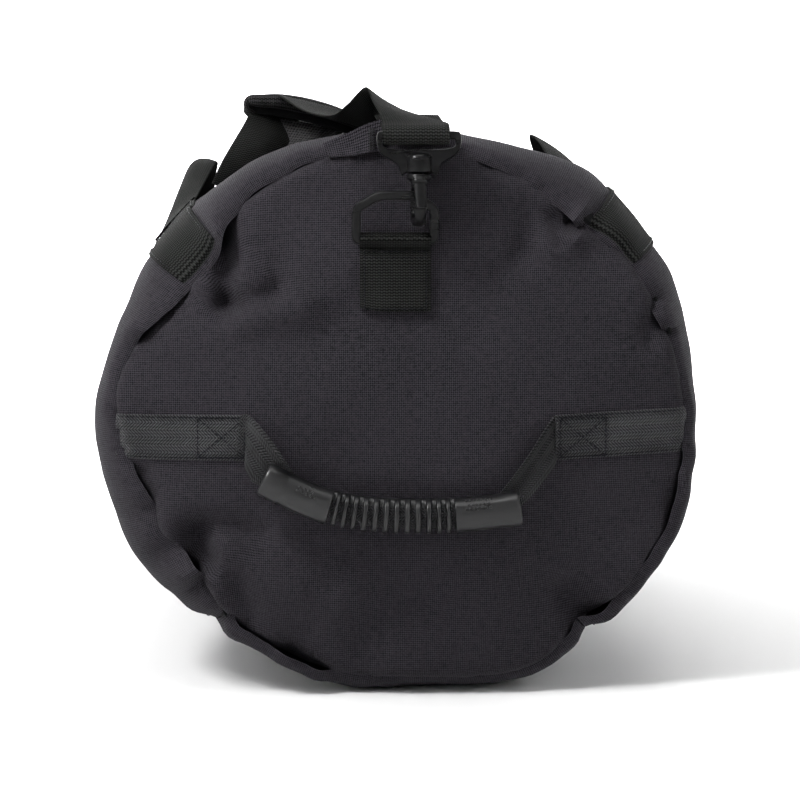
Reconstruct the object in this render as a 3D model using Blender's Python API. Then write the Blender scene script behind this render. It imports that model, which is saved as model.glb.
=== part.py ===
"""A soft barrel duffel bag, stuffed full, as separate sewn panels, webbing and plastic hardware.

Metres, +Z up. The bag's length runs along Y and its front end faces -Y. The origin is on the
underside of the base panel, at its middle. The rear end repeats the front one, turned half round.
"""

import math

import bmesh
import bpy
from mathutils import Vector

# The barrel: a rounded section that narrows a little towards the two end seams.
HALF_LENGTH = 0.309
HALF_WIDTH = 0.1775
AXIS_HEIGHT = 0.155
RISE = 0.170
DROP = 0.158
SQUARENESS = 2.2
END_SCALE = 0.935
TAPER_START = 0.215
END_BULGE = 0.019
FABRIC = 0.002
GAP = 0.0004

# Where the panels meet round the section, in degrees from +X towards +Z.
BASE_SEAM = -53.8
SEAM_STEP = 0.25
PANEL_TOP = 85.0
TAPE_TOP = 88.9
WEBBING_ANGLE = 41.0

# Webbing and hardware.
WEBBING = 0.0014
STRAP_WIDTH = 0.038
BAND_WIDTH = 0.025
HANDLE_HEIGHT = 0.149
HANDLE_HALF_SPAN = 0.0815
GRIP_HALF_LENGTH = 0.0665
GRIP_HEIGHT = 0.119
GRIP_SAG = 0.012
RIB_COUNT = 12
DRING_BAR_HEIGHT = 0.2597
DRING_TILT = math.radians(30)
HOOK_X = 0.0145
HOOK_REACH = 0.0112
FRAME_BAR_HEIGHT = 0.3237
CARRY_HALF_SPAN = 0.115
SLIDER_Y = 0.018
PAD_X = -0.052
PAD_TOP = 0.3455
PAD_SLOPE = math.radians(12)
PAD_HALF_WIDTH = 0.038
STRAP_ON_PAD = 0.0026

BLACK_FABRIC = ("bag_fabric", (0.018, 0.017, 0.02), 0.85, 0.0)
BLACK_WEBBING = ("webbing", (0.014, 0.014, 0.014), 0.7, 0.0)
BLACK_PLASTIC = ("moulded_plastic", (0.012, 0.012, 0.013), 0.38, 0.0)
ZIP_COIL = ("zip_coil", (0.015, 0.015, 0.016), 0.45, 0.0)
ZIP_METAL = ("zip_metal", (0.03, 0.03, 0.032), 0.35, 0.9)
LINING = ("binding", (0.02, 0.02, 0.021), 0.8, 0.0)
PAD_FABRIC = ("pad_fabric", (0.02, 0.02, 0.021), 0.9, 0.0)


def material(spec):
    """One Principled material for each finish, made the first time it is asked for."""
    name, colour, roughness, metallic = spec
    found = bpy.data.materials.get(name)
    if found:
        return found
    made = bpy.data.materials.new(name)
    made.use_nodes = True
    shader = made.node_tree.nodes["Principled BSDF"]
    shader.inputs["Base Color"].default_value = (*colour, 1.0)
    shader.inputs["Roughness"].default_value = roughness
    shader.inputs["Metallic"].default_value = metallic
    return made


def solid_mesh(name, points, faces, pivot=(0, 0, 0)):
    """A closed mesh about the pivot, with its faces turned outwards."""
    mesh = bpy.data.meshes.new(name)
    mesh.from_pydata([Vector(point) - Vector(pivot) for point in points], [], faces)
    shaped = bmesh.new()
    shaped.from_mesh(mesh)
    bmesh.ops.recalc_face_normals(shaped, faces=shaped.faces)
    shaped.to_mesh(mesh)
    shaped.free()
    mesh.shade_smooth()
    mesh.set_sharp_from_angle(angle=math.radians(40))
    return mesh


def place(name, mesh, finish, pivot=(0, 0, 0), parent=None):
    """An object of this mesh, with its origin at the pivot."""
    placed = bpy.data.objects.new(name, mesh.copy())
    placed.data.materials.append(material(finish))
    placed.location = pivot
    placed.parent = parent
    bpy.context.scene.collection.objects.link(placed)
    return placed


def place_at_both_ends(part, mesh, finish, pivot=(0, 0, 0)):
    return [place(f"{end}_{part}", mesh, finish, pivot, empty) for end, empty in END_FRAMES.items()]


def end_frame(name, turn):
    """An empty at the origin that turns the pieces of one end of the bag into place."""
    empty = bpy.data.objects.new(f"{name}_frame", None)
    empty.rotation_euler = (0, 0, turn)
    bpy.context.scene.collection.objects.link(empty)
    return empty


def spread(low, high, count):
    return [low + (high - low) * i / (count - 1) for i in range(count)]


def grid_faces(rows, columns, closed_rows=False, closed_columns=False):
    """Quads over a grid of points numbered row by row."""
    faces = []
    for i in range(rows if closed_rows else rows - 1):
        for j in range(columns if closed_columns else columns - 1):
            right = (j + 1) % columns
            below = (i + 1) % rows
            faces.append(
                (i * columns + j, i * columns + right, below * columns + right, below * columns + j)
            )
    return faces


def border(rows, columns):
    """The outline of a grid of points, in order."""
    top = [j for j in range(columns)]
    right = [i * columns + columns - 1 for i in range(1, rows)]
    bottom = [(rows - 1) * columns + j for j in range(columns - 2, -1, -1)]
    left = [i * columns for i in range(rows - 2, 0, -1)]
    return top + right + bottom + left


def layer_mesh(name, surface, us, vs, low, high, pivot=(0, 0, 0)):
    """A sheet between two offsets of surface(u, v, offset), closed along its four edges."""
    outer = [surface(u, v, high) for u in us for v in vs]
    inner = [surface(u, v, low) for u in us for v in vs]
    count = len(outer)
    faces = grid_faces(len(us), len(vs))
    faces += [tuple(i + count for i in reversed(face)) for face in grid_faces(len(us), len(vs))]
    edge = border(len(us), len(vs))
    for here, there in zip(edge, edge[1:] + edge[:1]):
        faces.append((here, there, there + count, here + count))
    return solid_mesh(name, outer + inner, faces, pivot)


def ring_mesh(name, surface, angles, vs, low, high):
    """A sheet that closes on itself round the section."""
    outer = [surface(u, v, high) for u in angles for v in vs]
    inner = [surface(u, v, low) for u in angles for v in vs]
    count = len(outer)
    columns = len(vs)
    faces = grid_faces(len(angles), columns, closed_rows=True)
    faces += [tuple(i + count for i in face) for face in grid_faces(len(angles), columns, True)]
    for edge in (0, columns - 1):
        for i in range(len(angles)):
            here = i * columns + edge
            there = (i + 1) % len(angles) * columns + edge
            faces.append((here, there, there + count, here + count))
    return solid_mesh(name, outer + inner, faces)


def smooth_path(points, steps):
    """A Catmull-Rom curve through the points, with this many steps between each two."""
    route = [Vector(point) for point in points]
    route = [route[0] * 2 - route[1]] + route + [route[-1] * 2 - route[-2]]
    curve = []
    for a, b, c, d in zip(route, route[1:], route[2:], route[3:]):
        for i in range(steps):
            t = i / steps
            curve.append(
                0.5 * (2 * b + (c - a) * t + (2 * a - 5 * b + 4 * c - d) * t**2
                       + (3 * b - a - 3 * c + d) * t**3)
            )
    return curve + [route[-2]]


def swept_mesh(name, path, sections, side, pivot=(0, 0, 0), closed=False):
    """Sections carried along a path: each is a list of (across, along the side) pairs.

    side is the direction of the section's second axis, or one direction for each path point.
    """
    path = [Vector(point) for point in path]
    sides = side if isinstance(side, list) else [side] * len(path)
    points = []
    for i, centre in enumerate(path):
        ahead = path[(i + 1) % len(path)] if closed else path[min(i + 1, len(path) - 1)]
        behind = path[i - 1] if closed else path[max(i - 1, 0)]
        tangent = (ahead - behind).normalized()
        along = Vector(sides[i])
        along = (along - tangent * along.dot(tangent)).normalized()
        across = tangent.cross(along)
        points += [centre + across * a + along * b for a, b in sections[i]]
    columns = len(sections[0])
    faces = grid_faces(len(path), columns, closed_rows=closed, closed_columns=True)
    if not closed:
        last = (len(path) - 1) * columns
        faces += [tuple(range(columns)), tuple(range(last, last + columns))]
    return solid_mesh(name, points, faces, pivot)


def oval(across, along, sides=8):
    """An oval section with the given half sizes."""
    angles = [math.tau * (i + 0.5) / sides for i in range(sides)]
    return [(across * math.cos(angle), along * math.sin(angle)) for angle in angles]


def flat(thickness, width):
    """A flat rectangular section."""
    t, w = thickness / 2, width / 2
    return [(-t, -w), (t, -w), (t, w), (-t, w)]


def ribbon_mesh(name, path, widths, sides, pivot=(0, 0, 0), thickness=WEBBING):
    sections = [flat(thickness, width) for width in widths]
    return swept_mesh(name, path, sections, sides, pivot)


def section_scale(y):
    past = max(0.0, (abs(y) - TAPER_START) / (HALF_LENGTH - TAPER_START))
    return 1 - (1 - END_SCALE) * min(past, 1.0) ** 2


def barrel(angle, y):
    """A point of the barrel's outer face: the underside is flat where it stands."""
    turn = math.radians(angle)
    power = 2 / SQUARENESS
    scale = section_scale(y)
    x = HALF_WIDTH * scale * math.copysign(abs(math.cos(turn)) ** power, math.cos(turn))
    half_height = RISE if math.sin(turn) > 0 else DROP
    z = half_height * scale * math.copysign(abs(math.sin(turn)) ** power, math.sin(turn))
    return Vector((x, y, max(AXIS_HEIGHT + z, 0.0)))


def on_barrel(angle, y, offset):
    """A point at this offset out of the barrel's face."""
    round_it = barrel(angle + 0.6, y) - barrel(angle - 0.6, y)
    along = Vector((0, 1, 0))
    return barrel(angle, y) + along.cross(round_it).normalized() * offset


def dome_depth(x, z):
    """How far the stuffed end panel stands out of its seam at this place."""
    height = (z - AXIS_HEIGHT) / ((RISE if z > AXIS_HEIGHT else DROP) * END_SCALE)
    reach = abs(x / (HALF_WIDTH * END_SCALE)) ** SQUARENESS + abs(height) ** SQUARENESS
    return END_BULGE * max(0.0, 1 - reach ** (2 / SQUARENESS))


def on_dome(x, z, offset):
    return Vector((x, -(HALF_LENGTH + FABRIC + GAP + dome_depth(x, z) + offset), z))


def barrel_stations():
    """Lengthwise stations, closer together where the barrel narrows."""
    half = [0.0, 0.11, TAPER_START, 0.25, 0.281, HALF_LENGTH]
    return [-y for y in reversed(half[1:])] + half


def add_barrel_panels():
    ys = barrel_stations()
    base_low, base_high = -180 - BASE_SEAM + SEAM_STEP, BASE_SEAM - SEAM_STEP
    base_angles = spread(base_low, base_high, 13)
    base = layer_mesh("base_panel", on_barrel, base_angles, ys, -FABRIC, 0)
    place("base_panel", base, BLACK_FABRIC)
    for side, low, high in (
        ("right", BASE_SEAM + SEAM_STEP, PANEL_TOP),
        ("left", 180 - PANEL_TOP, 180 - BASE_SEAM - SEAM_STEP),
    ):
        panel = layer_mesh(f"side_panel_{side}", on_barrel, spread(low, high, 17), ys, -FABRIC, 0)
        place(f"side_panel_{side}", panel, BLACK_FABRIC)


def add_end_panels():
    """A round panel that bulges out of the end seam."""
    angles = [360 * i / 36 for i in range(36)]
    reaches = [1.0, 0.82, 0.6, 0.35]

    def point(angle, reach, offset):
        rim = barrel(angle, -HALF_LENGTH)
        return on_dome(rim.x * reach, AXIS_HEIGHT + (rim.z - AXIS_HEIGHT) * reach, offset)

    count = len(angles)
    points = []
    for offset in (0, -FABRIC):
        points += [point(angle, reach, offset) for reach in reaches for angle in angles]
        points.append(on_dome(0, AXIS_HEIGHT, offset))
    layer = count * len(reaches) + 1
    faces = []
    for start in (0, layer):
        for face in grid_faces(len(reaches), count, closed_columns=True):
            faces.append(tuple(i + start for i in face))
        last = start + (len(reaches) - 1) * count
        faces += [(last + i, last + (i + 1) % count, start + layer - 1) for i in range(count)]
    faces += [(i, (i + 1) % count, layer + (i + 1) % count, layer + i) for i in range(count)]
    place_at_both_ends("end_panel", solid_mesh("end_panel", points, faces), BLACK_FABRIC)


def add_inner_tapes():
    """The tapes that bind the raw edges of the seams inside the bag."""
    angles = [360 * i / 32 for i in range(32)]
    ys = spread(-HALF_LENGTH + 0.002, -HALF_LENGTH + 0.014, 2)
    binding = ring_mesh("seam_binding", on_barrel, angles, ys, -FABRIC - 0.0024, -FABRIC - 0.0010)
    place_at_both_ends("seam_binding", binding, LINING)
    ys = spread(-HALF_LENGTH + 0.018, HALF_LENGTH - 0.018, 9)
    for side, angle in (("right", BASE_SEAM), ("left", 180 - BASE_SEAM)):
        angles = spread(angle - 2.2, angle + 2.2, 3)
        tape = layer_mesh("base_seam_tape", on_barrel, angles, ys, -FABRIC - 0.0022, -FABRIC - 0.0008)
        place(f"base_seam_tape_{side}", tape, LINING)


def add_zip():
    """Two tapes, two rows of teeth, the end stops, and two sliders that meet."""
    ys = barrel_stations()[1:-1]
    ys = [-HALF_LENGTH + 0.008] + ys + [HALF_LENGTH - 0.008]
    for side, mirror in (("right", 1), ("left", -1)):
        tape_angles = [90 - mirror * (90 - angle) for angle in (PANEL_TOP + 0.4, 87, TAPE_TOP)]
        tape = layer_mesh("zip_tape", on_barrel, tape_angles, ys, -FABRIC, -FABRIC + 0.0012)
        place(f"zip_tape_{side}", tape, ZIP_COIL)
        near = 0.00025 * mirror
        far = 0.0030 * mirror

        def on_top(x, y, offset):
            return Vector((x, y, barrel(90, y).z + offset))

        teeth = layer_mesh("zip_teeth", on_top, [near, far], ys, -FABRIC + 0.0016, 0.0012)
        place(f"zip_teeth_{side}", teeth, ZIP_COIL)
    stop_y = -HALF_LENGTH + 0.0035
    top = barrel(90, stop_y).z
    stop_path = [(-0.0135, stop_y, top - 0.0006), (0.0135, stop_y, top - 0.0006)]
    stop = swept_mesh("zip_stop", stop_path, [flat(0.0016, 0.006)] * 2, (0, 1, 0))
    place_at_both_ends("zip_stop", stop, BLACK_WEBBING)
    for end, turn in (("front", -1), ("rear", 1)):
        add_slider(end, turn)


def add_slider(end, turn):
    """A slider body that rides over the teeth, and its pull lying flat along the zip."""
    y = SLIDER_Y * turn
    top = barrel(90, 0).z
    bridge, roof, skirt = top + 0.0062, top + 0.0036, top + 0.0006
    half_width, flange = 0.0056, 0.0012
    profile = [
        (-half_width, skirt), (-half_width, roof), (-0.0016, roof), (-0.0016, bridge),
        (0.0016, bridge), (0.0016, roof), (half_width, roof), (half_width, skirt),
        (half_width - flange, skirt), (half_width - flange, top + 0.0018),
        (-half_width + flange, top + 0.0018), (-half_width + flange, skirt),
    ]
    count = len(profile)
    points = [(x, y + dy, z) for dy in (-0.0075, 0.0075) for x, z in profile]
    faces = grid_faces(2, count, closed_columns=True)
    faces += [tuple(range(count)), tuple(range(count, 2 * count))]
    slider = solid_mesh("zip_slider", points, faces, (0, y, top))
    place(f"zip_slider_{end}", slider, ZIP_METAL, (0, y, top))

    hinge = Vector((0, y + turn * 0.0095, top + 0.0056))
    reach = [0.0, 0.004, 0.012, 0.030, 0.034]
    path = [hinge + Vector((0, turn * step, 0)) for step in reach]
    widths = [0.0065, 0.0068, 0.0085, 0.0095, 0.0070]
    pull = ribbon_mesh("zip_pull", path, widths, (1, 0, 0), hinge, 0.0020)
    place(f"zip_pull_{end}", pull, ZIP_METAL, hinge)


def add_lengthwise_webbing():
    """Webbing sewn along the barrel on both sides, broken where the carry handles stand free."""
    half = math.degrees(STRAP_WIDTH / 2 / 0.176)
    for side, middle in (("right", WEBBING_ANGLE), ("left", 180 - WEBBING_ANGLE)):
        angles = spread(middle - half, middle + half, 5)
        for end, turn in (("front", -1), ("rear", 1)):
            ys = [CARRY_HALF_SPAN, 0.165, TAPER_START, 0.25, 0.281, HALF_LENGTH - 0.001]
            ys = sorted(turn * y for y in ys)
            strip = layer_mesh("webbing", on_barrel, angles, ys, GAP, GAP + WEBBING)
            place(f"webbing_{side}_{end}", strip, BLACK_WEBBING)


def add_carry_handles():
    """Webbing loops between the sewn strips, lying inwards on the barrel.

    Each has a middle that keeps its shape and a root at each end that bends as it swings.
    """
    for side, mirror, lean, lift, middle in (
        ("right", 1, 0.050, 0.0110, 0.56),
        ("left", -1, 0.030, 0.0190, 0.48),
    ):
        root_angle = 90 - mirror * (90 - WEBBING_ANGLE)
        anchor = on_barrel(root_angle, 0, GAP + WEBBING / 2)
        tangent = (barrel(root_angle + 1, 0) - barrel(root_angle - 1, 0)).normalized() * mirror
        out = Vector((0, 1, 0)).cross(tangent * mirror).normalized()

        def stretch(low, high, count):
            path, sides = [], []
            for part in spread(low, high, count):
                arch = 0.5 + 0.5 * math.cos(math.pi * part)
                along = Vector((0, part * (CARRY_HALF_SPAN - 0.0025), 0))
                path.append(anchor + along + tangent * lean * arch + out * lift * arch)
                tip = math.radians(13 * arch)
                sides.append(tangent * math.cos(tip) - out * math.sin(tip))
            widths = [STRAP_WIDTH] * count
            return ribbon_mesh("carry_handle", path, widths, sides, anchor)

        gap = 0.005
        place(f"carry_handle_{side}", stretch(-middle, middle, 13), BLACK_WEBBING, anchor)
        for end, turn in (("front", -1), ("rear", 1)):
            limits = sorted((turn, turn * (middle + gap)))
            place(f"carry_root_{side}_{end}", stretch(*limits, 6), BLACK_WEBBING, anchor)


def add_handle_bands():
    """Webbing bands across the end panel that hold the two roots of the end handle."""
    for side, mirror in (("left", -1), ("right", 1)):
        xs = [HANDLE_HALF_SPAN, 0.100, 0.125, 0.148, 0.162]
        xs = sorted(mirror * x for x in xs)
        zs = spread(HANDLE_HEIGHT - BAND_WIDTH / 2, HANDLE_HEIGHT + BAND_WIDTH / 2, 3)
        band = layer_mesh("handle_band", on_dome, xs, zs, GAP, GAP + WEBBING)
        place_at_both_ends(f"band_{side}", band, BLACK_WEBBING)


def add_end_handle():
    """A moulded, ribbed grip with folded webbing running through it to both bands."""
    pivot = handle_pivot()
    rib_zone = 0.56
    stations, outers = [-1.0, -0.97, -rib_zone - 0.02], [(0.0078, 0.0098), (0.0086, 0.0106)]
    outers.append((0.0088, 0.0110))
    groove = 2 * rib_zone / (RIB_COUNT + 1)
    for i in range(RIB_COUNT + 1):
        start = -rib_zone + i * groove
        stations += [start, start + 0.12 * groove, start + 0.42 * groove, start + 0.54 * groove]
        outers += [(0.0090, 0.0112), (0.0074, 0.0096), (0.0074, 0.0096), (0.0090, 0.0112)]
    stations += [rib_zone + 0.02, 0.97, 1.0]
    outers += [(0.0088, 0.0110), (0.0086, 0.0106), (0.0078, 0.0098)]

    def at(part):
        x = part * GRIP_HALF_LENGTH
        sag = GRIP_SAG * (1 - part**2)
        return Vector((x, on_dome(0, GRIP_HEIGHT, 0.0115).y, GRIP_HEIGHT - sag))

    outer_count, bore_parts = len(stations), spread(-1, 1, 9)
    points = []
    for path, sections in (
        ([at(part) for part in stations], [oval(*size) for size in outers]),
        ([at(part) for part in bore_parts], [oval(0.0029, 0.0080)] * len(bore_parts)),
    ):
        for i, centre in enumerate(path):
            tangent = (path[min(i + 1, len(path) - 1)] - path[max(i - 1, 0)]).normalized()
            across = Vector((0, -1, 0))
            along = tangent.cross(across).normalized()
            points += [centre + across * a + along * b for a, b in sections[i]]
    sides = 8
    faces = grid_faces(outer_count, sides, closed_columns=True)
    bore = outer_count * sides
    for face in grid_faces(len(bore_parts), sides, closed_columns=True):
        faces.append(tuple(i + bore for i in face))
    for outer_row, bore_row in ((0, bore), ((outer_count - 1) * sides, bore + 8 * sides)):
        for i in range(sides):
            j = (i + 1) % sides
            faces.append((outer_row + i, outer_row + j, bore_row + j, bore_row + i))
    grip = solid_mesh("grip", points, faces, pivot)
    place_at_both_ends("grip", grip, BLACK_PLASTIC, pivot)

    half = [
        on_dome(HANDLE_HALF_SPAN - 0.0040, HANDLE_HEIGHT - 0.0008, 0.0032),
        on_dome(HANDLE_HALF_SPAN - 0.0055, HANDLE_HEIGHT - 0.0065, 0.0048),
        on_dome(HANDLE_HALF_SPAN - 0.0080, HANDLE_HEIGHT - 0.0190, 0.0095),
        on_dome(HANDLE_HALF_SPAN - 0.0110, HANDLE_HEIGHT - 0.0275, 0.0122),
    ]
    middle = [at(part) for part in reversed(bore_parts)]
    path = half + middle + [Vector((-point.x, point.y, point.z)) for point in reversed(half)]
    root_widths = [0.0116, 0.0126, 0.0125, 0.0120]
    widths = root_widths + [0.0114] * len(middle) + root_widths[::-1]
    sides = []
    for i in range(len(path)):
        tangent = path[min(i + 1, len(path) - 1)] - path[max(i - 1, 0)]
        sides.append((tangent.z, 0, -tangent.x))
    webbing = ribbon_mesh("handle_webbing", path, widths, sides, pivot, 0.0020)
    place_at_both_ends("handle_webbing", webbing, BLACK_WEBBING, pivot)


def handle_pivot():
    """A point on the line through the two roots of the end handle."""
    return Vector((0, on_dome(HANDLE_HALF_SPAN, HANDLE_HEIGHT, 0.0032).y, HANDLE_HEIGHT))


def dring_bar():
    """The middle of the D-ring's straight bar."""
    return on_dome(0, DRING_BAR_HEIGHT, 0.0050)


def add_dring():
    """The folded webbing tab, and the plastic D-ring that turns in it."""
    bar = dring_bar()
    bar_radius, half_width, straight, arch = 0.0023, 0.0212, 0.0085, 0.0200
    wrap = bar_radius + 0.0005 + WEBBING / 2
    heights = spread(0.2225, 0.2500, 4)
    back, front = GAP + WEBBING / 2, GAP + WEBBING * 1.5 + 0.0005
    path = [on_dome(0, z, back) for z in heights]
    for turn in spread(0, 180, 6):
        angle = math.radians(turn)
        path.append((0, bar.y + wrap * math.cos(angle), bar.z + wrap * math.sin(angle)))
    path += [on_dome(0, z, front) for z in reversed(heights)]
    tab = ribbon_mesh("dring_tab", path, [STRAP_WIDTH] * len(path), (1, 0, 0))
    place_at_both_ends("dring_tab", tab, BLACK_WEBBING)

    lean = Vector((0, -math.sin(DRING_TILT), math.cos(DRING_TILT)))
    loop = [(half_width, 0.002), (half_width, straight)]
    for i in range(1, 12):
        angle = math.pi * i / 12
        loop.append((half_width * math.cos(angle), straight + arch * math.sin(angle)))
    loop += [(-half_width, straight), (-half_width, 0.002)]
    loop += [(-half_width + 0.002, 0.0), (0, 0), (half_width - 0.002, 0.0)]
    path = [bar + Vector((x, 0, 0)) + lean * height for x, height in loop]
    side = Vector((1, 0, 0)).cross(lean)
    sections = [oval(bar_radius, bar_radius)] * len(path)
    ring = swept_mesh("dring", path, sections, side, bar, closed=True)
    place_at_both_ends("dring", ring, BLACK_PLASTIC, bar)


def hook_axis():
    """The foot of the hook's stem axis, level with the D-ring where the hook crosses it."""
    return Vector((HOOK_X, dring_bar().y - 0.0130, FRAME_BAR_HEIGHT))


def add_hook_frame():
    """The frame that the strap loops through, with the barrel that the hook swivels in."""
    pivot = hook_axis()
    outer = [
        (0, 0.0021), (0.0212, 0.0021), (0.0233, 0.0003), (0.0233, -0.0042), (0.0210, -0.0112),
        (0.0135, -0.0160), (0.0095, -0.0202), (0, -0.0202),
    ]
    window = [
        (0, -0.0021), (0.0190, -0.0021), (0.0198, -0.0030), (0.0198, -0.0052), (0.0176, -0.0084),
        (0.0120, -0.0108), (0.0060, -0.0112), (0, -0.0112),
    ]
    half_depth = 0.0022
    loops = []
    for outline in (outer, window):
        full = outline + [(-x, z) for x, z in reversed(outline[1:-1])]
        for depth in (-half_depth, half_depth):
            loops.append([pivot + Vector((x, depth, z)) for x, z in full])
    count = len(loops[0])
    points = [point for loop in loops for point in loop]
    faces = []
    for first, second in ((0, 1), (1, 3), (3, 2), (2, 0)):
        for i in range(count):
            j = (i + 1) % count
            faces.append(
                (first * count + i, first * count + j, second * count + j, second * count + i)
            )
    plate = solid_mesh("hook_frame", points, faces, pivot)
    barrel_path = [pivot + Vector((0, 0, z)) for z in (-0.0112, -0.0120, -0.0206, -0.0213)]
    sections = [oval(radius, radius, 16) for radius in (0.0062, 0.0070, 0.0070, 0.0062)]
    socket = swept_mesh("hook_socket", barrel_path, sections, (1, 0, 0), pivot)
    bore_path = [pivot + Vector((0, 0, z)) for z in (-0.0090, -0.0240)]
    bore = swept_mesh("hook_bore", bore_path, [oval(0.0032, 0.0032, 12)] * 2, (1, 0, 0), pivot)
    for end, empty in END_FRAMES.items():
        frame = place(f"{end}_hook_frame", plate, BLACK_PLASTIC, pivot, empty)
        for helper_name, mesh, operation in (
            ("socket", socket, "UNION"), ("bore", bore, "DIFFERENCE"),
        ):
            helper = place(f"{end}_hook_{helper_name}", mesh, BLACK_PLASTIC, pivot, empty)
            helper.hide_render = True
            helper.display_type = "WIRE"
            change = frame.modifiers.new(helper_name, "BOOLEAN")
            change.operation = operation
            change.object = helper


def add_hook():
    """The swivelling hook, from its head in the barrel round to its tip, and the sprung gate."""
    pivot = hook_axis()
    reach = HOOK_REACH
    stem = [
        (-0.0080, 0.0040, 0.0040), (-0.0106, 0.0046, 0.0046), (-0.01065, 0.0029, 0.0029),
        (-0.0217, 0.0029, 0.0029), (-0.02175, 0.0066, 0.0066), (-0.0240, 0.0066, 0.0066),
        (-0.0256, 0.0064, 0.0042), (-0.0282, 0.0052, 0.0040),
    ]
    path = [(0, z) for z, _, _ in stem]
    sections = [oval(across, along) for _, across, along in stem]
    limb = [(0.0045, -0.0300), (0.0088, -0.0330), (reach, -0.0380), (reach, -0.0510)]
    for i in range(1, 7):
        angle = math.pi * i / 6
        limb.append((reach * math.cos(angle), -0.0510 - reach * 0.64 * math.sin(angle)))
    limb.append((-reach, -0.0505))
    path += limb
    sections += [oval(0.0034, 0.0040)] + [oval(0.0024, 0.0040)] * (len(limb) - 1)
    path = [pivot + Vector((0, y, z)) for y, z in path]
    hook = swept_mesh("hook", path, sections, (1, 0, 0), pivot)
    place_at_both_ends("hook", hook, BLACK_PLASTIC, pivot)

    top = gate_pivot()
    foot = pivot + Vector((0, -reach, -0.0497))
    path = [top, top.lerp(foot, 0.3), top.lerp(foot, 0.8), foot]
    gate = swept_mesh("hook_gate", path, [oval(0.0017, 0.0034)] * 4, (1, 0, 0), top)
    place_at_both_ends("hook_gate", gate, BLACK_PLASTIC, top)


def gate_pivot():
    return hook_axis() + Vector((0, -0.0078, -0.0312))


def strap_route():
    """The strap's middle line from its sewn front end, round both frame bars, to the adjuster."""
    bar = hook_axis()
    wrap = 0.0047
    front = [
        bar + Vector((-0.004, 0.040, 0.0135)), bar + Vector((-0.001, 0.020, 0.0060)),
        bar + Vector((0, 0.0064, -0.0020)),
    ]
    for turn in (-80, -30, 20, 75):
        angle = math.radians(turn)
        front.append(bar + Vector((0, -wrap * math.cos(angle), wrap * math.sin(angle))))
    front += [
        bar + Vector((-0.0005, 0.0060, 0.0062)), bar + Vector((-0.003, 0.020, 0.0115)),
        bar + Vector((-0.0085, 0.042, 0.0205)), Vector((-0.013, -0.235, 0.3495)),
        Vector((-0.034, -0.205, 0.3500)), Vector((-0.049, -0.175, 0.3485)),
    ]
    middle = [pad_point(0, y, STRAP_ON_PAD) for y in (-0.145, -0.08, 0.0, 0.08, 0.15, 0.20, 0.235)]
    rear_bar = Vector((-bar.x, -bar.y, bar.z))
    back = [
        Vector((-0.042, 0.270, 0.3460)), rear_bar + Vector((-0.006, -0.030, 0.0150)),
        rear_bar + Vector((-0.0005, -0.0060, 0.0062)),
    ]
    for turn in (75, 20, -30, -80):
        angle = math.radians(turn)
        back.append(rear_bar + Vector((0, wrap * math.cos(angle), wrap * math.sin(angle))))
    back += [
        rear_bar + Vector((0, -0.0064, -0.0020)), rear_bar + Vector((-0.003, -0.020, 0.0060)),
        Vector((-0.033, 0.278, 0.3395)),
    ]
    return front, middle, back


def add_strap():
    front, middle, back = strap_route()
    route = front + middle + back
    path = smooth_path(route, 2)
    slope = Vector((math.cos(PAD_SLOPE), 0, -math.sin(PAD_SLOPE)))
    flat_side = Vector((1, 0, 0))
    keys = [flat_side] * (len(front) - 2) + [slope] * (2 + len(middle)) + [flat_side] * len(back)
    sides = smooth_path(keys, 2)
    strap = ribbon_mesh("shoulder_strap", path, [STRAP_WIDTH - 0.002] * len(path), sides)
    place("shoulder_strap", strap, BLACK_WEBBING)
    tail_route = [
        (-0.058, -0.166, 0.3330), (-0.078, -0.170, 0.3300), (-0.097, -0.174, 0.3200),
        (-0.109, -0.176, 0.3070), (-0.116, -0.177, 0.2960),
    ]
    tail_path = smooth_path(tail_route, 2)
    tail_side = (0.35, -0.85, 0.10)
    tail = ribbon_mesh("strap_tail", tail_path, [STRAP_WIDTH] * len(tail_path), tail_side)
    place("strap_tail", tail, BLACK_WEBBING)


def pad_point(u, y, offset):
    """A point in the pad's tilted frame: u across it, offset above its flat middle."""
    across = Vector((math.cos(PAD_SLOPE), 0, -math.sin(PAD_SLOPE)))
    up = Vector((math.sin(PAD_SLOPE), 0, math.cos(PAD_SLOPE)))
    return Vector((PAD_X, y, PAD_TOP)) + across * u + up * offset


def on_pad(u, y, offset):
    """A point of the shoulder pad, whose edges droop a little."""
    return pad_point(u, y, offset - 2.2 * u * u)


def add_pad():
    """The cushion, and the two webbing keepers that hold the strap on it."""
    pivot = pad_point(0, -0.02, 0)
    us = spread(-PAD_HALF_WIDTH, PAD_HALF_WIDTH, 7)
    ys = spread(-0.145, 0.115, 5)
    pad = layer_mesh("shoulder_pad", on_pad, us, ys, -0.0080, 0.0, pivot)
    place("shoulder_pad", pad, PAD_FABRIC, pivot)
    inner, outer, tab = 0.0213, 0.0227, 0.0260
    foot, ceiling, thick = -0.0004, 0.0038, 0.0011
    outline = [
        (-tab, foot), (-inner, foot), (-inner, ceiling), (inner, ceiling), (inner, foot), (tab, foot),
        (tab, foot + thick), (outer, foot + thick), (outer, ceiling + thick),
        (-outer, ceiling + thick), (-outer, foot + thick), (-tab, foot + thick),
    ]
    count = len(outline)
    faces = grid_faces(2, count, closed_columns=True)
    faces += [tuple(range(count)), tuple(range(count, 2 * count))]
    for end, y in (("front", -0.125), ("rear", 0.095)):
        points = [pad_point(u, y + dy, w) for dy in (-0.008, 0.008) for u, w in outline]
        keeper = solid_mesh("pad_keeper", points, faces, pivot)
        place(f"pad_keeper_{end}", keeper, BLACK_WEBBING, pivot)


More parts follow.
